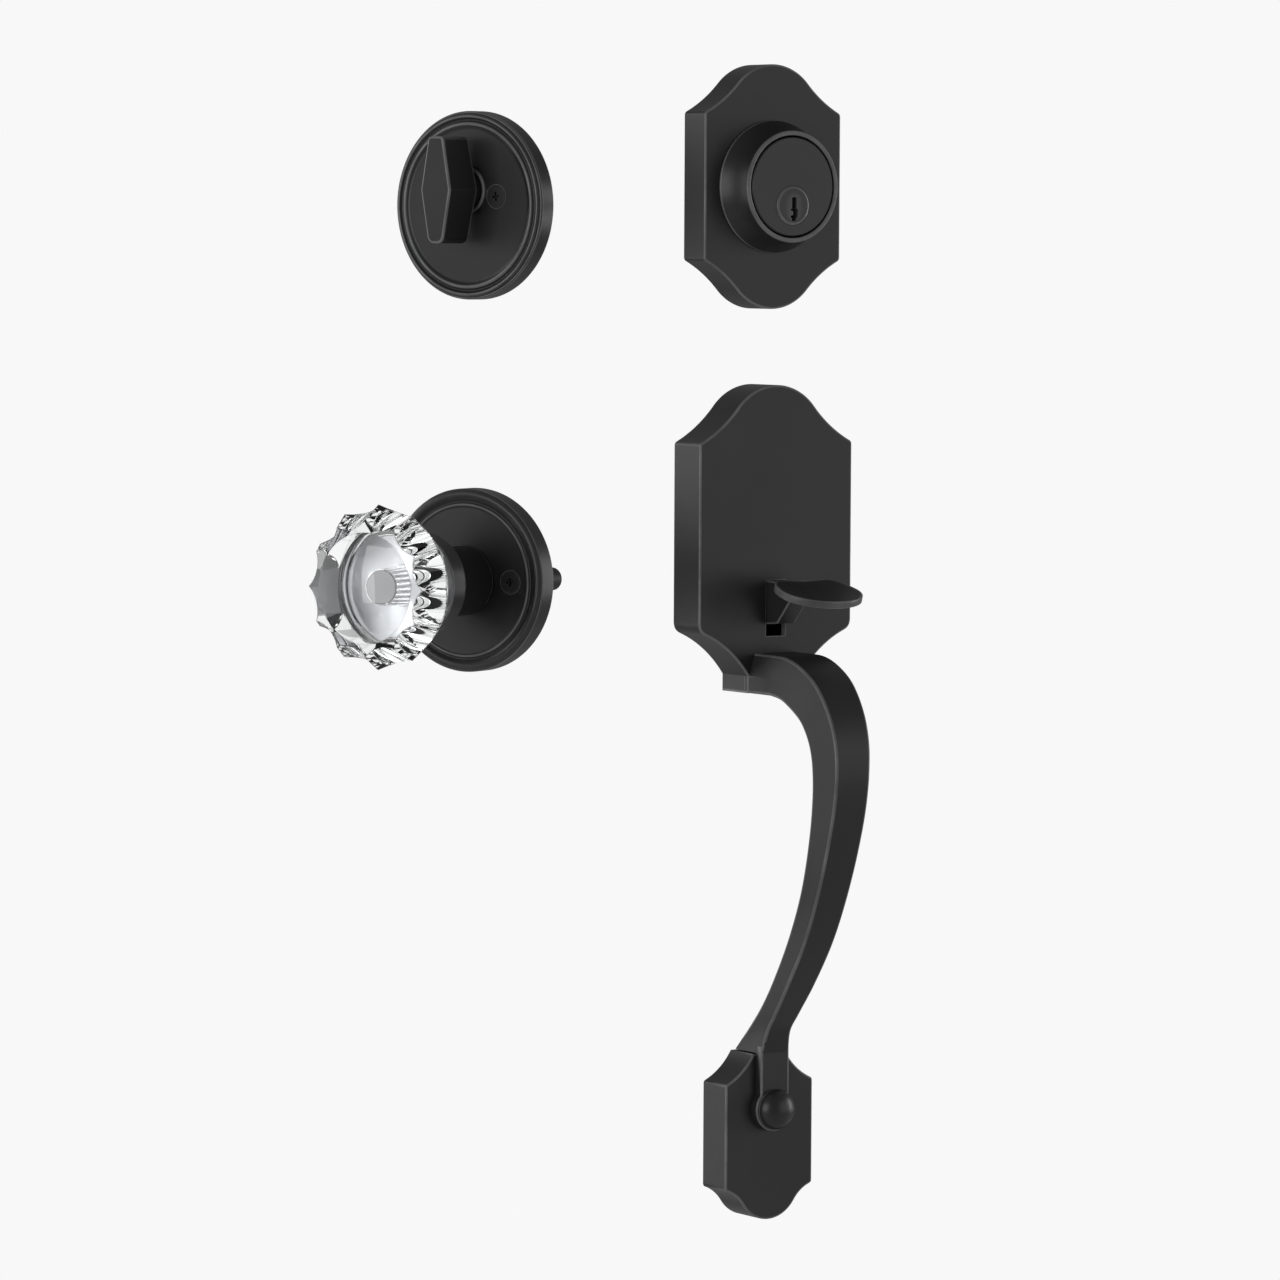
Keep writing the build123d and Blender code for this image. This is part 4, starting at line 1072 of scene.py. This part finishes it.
def newTree(name, sizes, fromShape=False):
    # a node tree with named inputs for its sizes and its finish
    tree = bpy.data.node_groups.new(name, "GeometryNodeTree")
    face = tree.interface
    for way in ("INPUT", "OUTPUT") if fromShape else ("OUTPUT",):
        face.new_socket("Geometry", in_out=way, socket_type="NodeSocketGeometry")
    for key, value in sizes.items():
        face.new_socket(key, in_out="INPUT", socket_type="NodeSocketFloat").default_value = value
    face.new_socket("Finish", in_out="INPUT", socket_type="NodeSocketMaterial")
    g = Graph(tree)
    source = tree.nodes.new("NodeGroupInput")
    return g, {i.name: Value(g, source.outputs[i.name]) for i in face.items_tree if i.in_out == "INPUT"}


def endTree(g, shape, finish):
    real = g.add("GeometryNodeRealizeInstances", None, {"Geometry": shape})
    done = g.add("GeometryNodeSetMaterial", None, {"Geometry": real, "Material": finish})
    g.end("NodeGroupOutput", done, "Geometry")
    return g.tree


def grow(piece, tree, values, group):
    # runs a tree with its inputs set and leaves the finished plain mesh
    modifier = piece.modifiers.new("grow", "NODES")
    modifier.node_group = tree
    for item in tree.interface.items_tree:
        if item.in_out == "INPUT" and item.name in values:
            modifier[item.identifier] = values[item.name]
    applyModifier(piece, modifier)
    piece.data.transform(places[group])
    piece.data.name = piece.name
    return piece


def screwTree(s):
    first = next(iter(s.pairs.values()))
    g, value = newTree("crossRecessedScrews", {**dict(zip(s.pairSizes, first[2:])), **s.sizes})

    def cone(low, high, lowRadius, highRadius):
        # each overlaps the next, so that no two faces lie on each other
        shape = g.add("GeometryNodeMeshCone", {"fill_type": "NGON"}, {
            "Vertices": 64, "Side Segments": 1, "Radius Top": highRadius, "Radius Bottom": lowRadius,
            "Depth": high - low})
        start = g.vector(0.0, 0.0, low)
        return g.add("GeometryNodeTransform", None, {"Geometry": shape, "Translation": start})

    def boolean(operation, parts, base=None):
        node = g.tree.nodes.new("GeometryNodeMeshBoolean")
        node.operation = operation
        if base:
            g.tree.links.new(base.socket, node.inputs["Mesh 1"])
        for part in parts:
            g.tree.links.new(part.socket, node.inputs["Mesh 2"])
        return Value(g, node.outputs["Mesh"])

    headR, shankR, threadR = value["Head Radius"], value["Shank Radius"], value["Thread Radius"]
    seat, shoulder = value["Head Depth"] * -1, value["Shoulder"] * -1
    solid = boolean("UNION", [
        cone(seat - 0.2, -0.2, shankR * 0.96, headR - 0.01), cone(-0.3, -0.12, headR, headR),
        cone(-0.16, 0.0, headR - 0.02, headR - 0.3), cone(shoulder, seat * 0.5, shankR, shankR),
        cone(value["Length"] * -1, shoulder + 0.5, threadR, threadR)])
    long, wide, deep = value["Recess Length"], value["Recess Width"], value["Recess Depth"] * 2
    bars = [g.add("GeometryNodeMeshCube", None, {"Size": g.vector(x, y, deep)})
            for x, y in ((long, wide), (wide, long))]
    screw = boolean("DIFFERENCE", bars, solid)
    spacing = value["Half Spacing"]
    row = g.add("GeometryNodeMeshLine", None, {
        "Count": 2, "Start Location": g.vector(spacing * -1, value["Rise"], value["Top"]),
        "Offset": g.vector(spacing * 2, 0.0, 0.0)})
    placed = g.add("GeometryNodeInstanceOnPoints", None, {
        "Points": row, "Instance": screw, "Rotation": (0.0, 0.0, radians(s.turn))})
    return endTree(g, placed, value["Finish"])


def makeScrews(s):
    tree = screwTree(s)
    for name, (group, nodes, *sizes) in s.pairs.items():
        values = {**dict(zip(s.pairSizes, sizes)), "Finish": materials["blackPlain"]}
        piece = grow(newObject(name, bpy.data.meshes.new(name)), tree, values, group)
        dressPiece(piece, nodes, "blackPlain", sharp=25)


makeScrews(Sizes(screws))

# Thumbturn: wedge grip on a round neck with a journal behind

thumbturn = {
    "height": 39.5, "endWidth": 6.9, "frontWidth": 14.0, "backWidth": 16.4, "back": 11.9, "depth": 14.6,
    "topR": 1.8, "lowR": 3.1, "middleR": 3.0, "edge": 0.8, "backEdge": 0.5,
    "neckR": 7.0, "journalR": 6.0, "journalBack": -2.2, "grooveR": 5.2, "grooveBack": -0.8,
    "grooveFront": 0.2, "shoulder": 2.2, "boreR": 4.3, "boreEnd": 2.0,
}


def journalLine(d):
    # journal with its clip groove, from its back to the neck
    return [(d.journalR, d.journalBack), (d.journalR, d.grooveBack), (d.grooveR, d.grooveBack),
            (d.grooveR, d.grooveFront), (d.journalR, d.grooveFront), (d.journalR, d.shoulder),
            (d.neckR, d.shoulder)]


def makeThumbturn(d):
    def outline(width):
        h, e = d.height / 2, d.endWidth / 2
        corners = [(e, h), (-e, h), (-width / 2, 0), (-e, -h), (e, -h), (width / 2, 0)]
        radii = [d.topR, d.topR, d.middleR, d.lowR, d.lowR, d.middleR]
        return supported(softLine(corners, radii, 8, True), True)

    bm = bmesh.new()
    low, top, edge = d.back, d.back + d.depth, d.edge
    back, front = outline(d.backWidth), outline(d.frontWidth)
    rings = flatRings((insetLine(back, inset), h) for inset, h in roundUnder(low, d.backEdge))
    sides = [(0, low + d.backEdge + supportGap), (0, top - edge - supportGap)]
    for inset, h in sides + roundOver(top, edge, 6) + [(edge + supportGap, top)]:
        f = min(1.0, (h - low) / d.depth)
        line = [p.lerp(q, f) for p, q in zip(back, front)]
        rings += flatRings([(insetLine(line, inset), h)])
    ringStack(bm, rings)
    shaft = [(0, d.boreEnd), (d.boreR, d.boreEnd), (d.boreR, d.journalBack), *journalLine(d),
             (d.neckR, low + 0.4), (0, low + 0.4)]
    turnedShape(bm, softLine(shaft, [0, 0, 0.3, 0.4, 0.1, 0, 0, 0.1, 0, 0.3, 0, 0], 4), 96)
    finishPiece("thumbturnLever", bm, "thumbturnAxis", ["thumbturn_lever"], "black", "thumbturn")


makeThumbturn(Sizes(thumbturn))

# Knob: shank, bezel and fluted glass

knob = {
    "journalBack": -2.2, "journalR": 9.0, "grooveBack": -1.0, "grooveFront": 0.2, "grooveR": 8.0,
    "shoulder": 8.5, "neckR": 13.0, "spindle": 4.0, "spindleEnd": 29.0,
    "bezelBack": 33.0, "bezelBackR": 17.0, "bezelR": 19.2, "bezelFront": 43.5, "bezelFloor": 2.6,
    "setScrewR": 2.02, "setScrewAt": 22.0, "setScrewFrom": -14.0, "setScrewTo": -3.5,
    "cupR": 17.8, "cupFloor": 40.0, "studR": 5.5, "studFront": 56.0, "studShine": 0.45,
}

glass = {
    "points": 12, "ringR": 30.4, "valleyR": 26.4, "ringHeight": 64.3, "lean": 25.0, "domeTop": 77.0,
    "profile": [(17.6, 40.05), (17.6, 43.8), (19.0, 43.8), (30.4, 64.3), (30.4, 66.4),
                (27.0, 71.8), (26.2, 72.4), (20.4, 73.2)],
    "bore": 5.6, "columns": 480, "rowStep": 0.45, "fluteFrom": 18.5,
}


def makeKnobMetal(d):
    bm = bmesh.new()
    shaft = [(0, d.journalBack), *journalLine(d), (d.neckR, d.bezelBack), (0, d.bezelBack)]
    turnedShape(bm, softLine(shaft, [0, 0.5, 0.1, 0, 0, 0.1, 0, 0.5, 0, 0], 4))
    piece = looseObject("knobShank", bm, "knob")
    a = d.spindle + 0.02
    square = [[(x, y, h) for x, y in ((a, a), (-a, a), (-a, -a), (a, -a))]
              for h in (d.journalBack - 1, d.spindleEnd + 0.02)]
    hole = [[(p.x, y, p.y) for p in circleLine((0, d.setScrewAt), d.setScrewR, 32)]
            for y in (d.setScrewFrom, d.setScrewTo)]
    cutHoles(piece, "knob", [square, hole])
    dressPiece(piece, ["knob_shank"], "blackTurned", "knob")

    bm = bmesh.new()
    cup = [(0, d.bezelBack), (d.bezelBackR, d.bezelBack), (d.bezelR, d.bezelBack + d.bezelFloor),
           (d.bezelR, d.bezelFront), (d.cupR, d.bezelFront), (d.cupR, d.cupFloor),
           (d.studR, d.cupFloor), (d.studR, d.studFront), (0, d.studFront)]
    turnedShape(bm, softLine(cup, [0, 1.2, 1.6, 0.5, 0.25, 0, 0, 0.4, 0], 8), 160)
    piece = looseObject("knobBezel", bm, "knob")

    def plating(q):
        r = hypot(q.x, q.y)
        if r < d.studR + 0.5 and q.z > d.cupFloor + 0.3:
            return d.studShine
        return r < d.cupR + 0.1 and d.cupFloor - 0.1 < q.z < d.bezelFront - 0.4

    markPoints(piece.data, "plated", byPlace(piece, "knob", plating))
    dressPiece(piece, ["knob_bezel"], "blackCup", "knob")


def glassTree(s):
    # turned blank whose radius is held back by a ring of leaning flutes
    g, value = newTree("flutedGlassKnob", {
        "Points": s.points, "Ring Radius": s.ringR, "Valley Radius": s.valleyR,
        "Ring Height": s.ringHeight, "Lean Slope": tan(radians(s.lean))}, True)
    spot = g.add("GeometryNodeInputPosition")
    split = g.add("ShaderNodeSeparateXYZ", None, {0: spot}).socket.node
    x, y, z = (Value(g, split.outputs[i]) for i in range(3))
    radius = (x * x + y * y).maths("SQRT")
    angle = y.maths("ARCTAN2", x)
    part = 2 * pi / value["Points"]
    # angle from the middle of the nearest flute
    away = (angle - part * 0.5 + 2 * pi * 4).maths("MODULO", part)
    away = away - part * 0.5
    away = part * 0.5 - away.maths("ABSOLUTE")
    halfPart = part * 0.5
    chord = value["Ring Radius"] * halfPart.maths("SINE")
    sag = value["Ring Radius"] * halfPart.maths("COSINE") - value["Valley Radius"]
    fluteR = (chord * chord + sag * sag) / (sag * 2)
    centre = value["Valley Radius"] + fluteR - (z - value["Ring Height"]) * value["Lean Slope"]
    reach = centre * away.maths("SINE")
    wall = centre * away.maths("COSINE") - (fluteR * fluteR - reach * reach).most(0.0).maths("SQRT")
    held = radius.least(wall)
    scale = held / radius.most(0.001)
    moved = g.vector(x * scale, y * scale, z)
    shaped = g.add("GeometryNodeSetPosition", None, {"Geometry": value["Geometry"], "Position": moved})
    return endTree(g, shaped, value["Finish"])


def makeGlass(s, studFront):
    rim = Vector(s.profile[-1])
    rise = s.domeTop - rim.y
    domeR = (rim.x**2 + rise**2) / (2 * rise)
    turns = [asin(rim.x / domeR) * (1 - t) for t in spread(1, 24)]
    dome = [(domeR * sin(t), s.domeTop - domeR * (1 - cos(t))) for t in turns]
    dome[-1] = (0, s.domeTop)
    corners = [(s.bore, s.profile[0][1]), *s.profile, dome[1]]
    outer = softLine(corners, [0.2, 0.5, 0.15, 0.3, 0.5, 0.5, 0.5, 0.3, 1.2, 0], 4)
    dense = []
    for a, b in zip(outer, outer[1:]):
        n = max(1, int((b - a).length / s.rowStep)) if max(a.x, b.x) > s.fluteFrom else 1
        dense += [a.lerp(b, i / n) for i in range(n)]
    bore = [(0, studFront + 0.1), (s.bore - 0.3, studFront + 0.1), (s.bore, studFront - 0.2)]
    bm = bmesh.new()
    turnedShape(bm, bore + dense + dome[1:], s.columns)
    bmesh.ops.recalc_face_normals(bm, faces=bm.faces)
    piece = newObject("glassKnob", meshFrom(bm, "glassBlank"))
    grow(piece, glassTree(s), {"Finish": materials["glass"]}, "knob")
    dressPiece(piece, ["glass_knob"], "glass", "knob", 22, True)


makeKnobMetal(Sizes(knob))
makeGlass(Sizes(glass), knob["studFront"])

# Finishes of the CAD nodes that stay

stays = {
    "cylinder_housing": "blackTurned", "plug_cap": "zinc",
    "deadbolt_tailpiece": "zinc", "handle_backplate": "zinc", "thumb_pivot_pin": "zinc",
    "thumbturn_backplate": "zinc", "thumbturn_drive": "brass", "thumbturn_clip": "spring",
    "knob_backplate": "blackPlain", "knob_set_screw": "zinc", "knob_spindle": "zinc", "knob_clip": "spring",
    "knob_return_spring": "spring",
}


def dressNodes(table):
    for name, material in table.items():
        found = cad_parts[name]
        for obj in found if isinstance(found, (list, tuple)) else [found]:
            obj.data.materials.clear()
            obj.data.materials.append(materials[material])


dressNodes(stays)

# Floor


def makeFloor(s):
    m, g, place = newMaterial("paleFloor")
    cloud = g.noise(place, 3.0)
    shade = s.floorColour
    # the camera alone sees the floor's glow, which keeps it as pale as the backdrop
    glow = g.mixColour(g.add("ShaderNodeLightPath", output="Is Camera Ray"), (0, 0, 0), (1, 1, 1))
    finishMaterial(m, g, {
        "Base Color": g.mixColour(cloud, (shade,) * 3, (shade * 0.98,) * 3),
        "Roughness": 0.8 + (cloud - 0.5) * 0.1, "Emission Color": glow, "Emission Strength": s.floorGlow})
    bm = bmesh.new()
    bmesh.ops.create_circle(bm, cap_ends=True, radius=s.floorRadius, segments=96)
    mesh = meshFrom(bm, "floor")
    mesh.transform(Matrix.Translation((0, 0, s.floorLevel)))
    mesh.materials.append(m)
    floor = newObject("floor", mesh)


makeFloor(Sizes(studio))
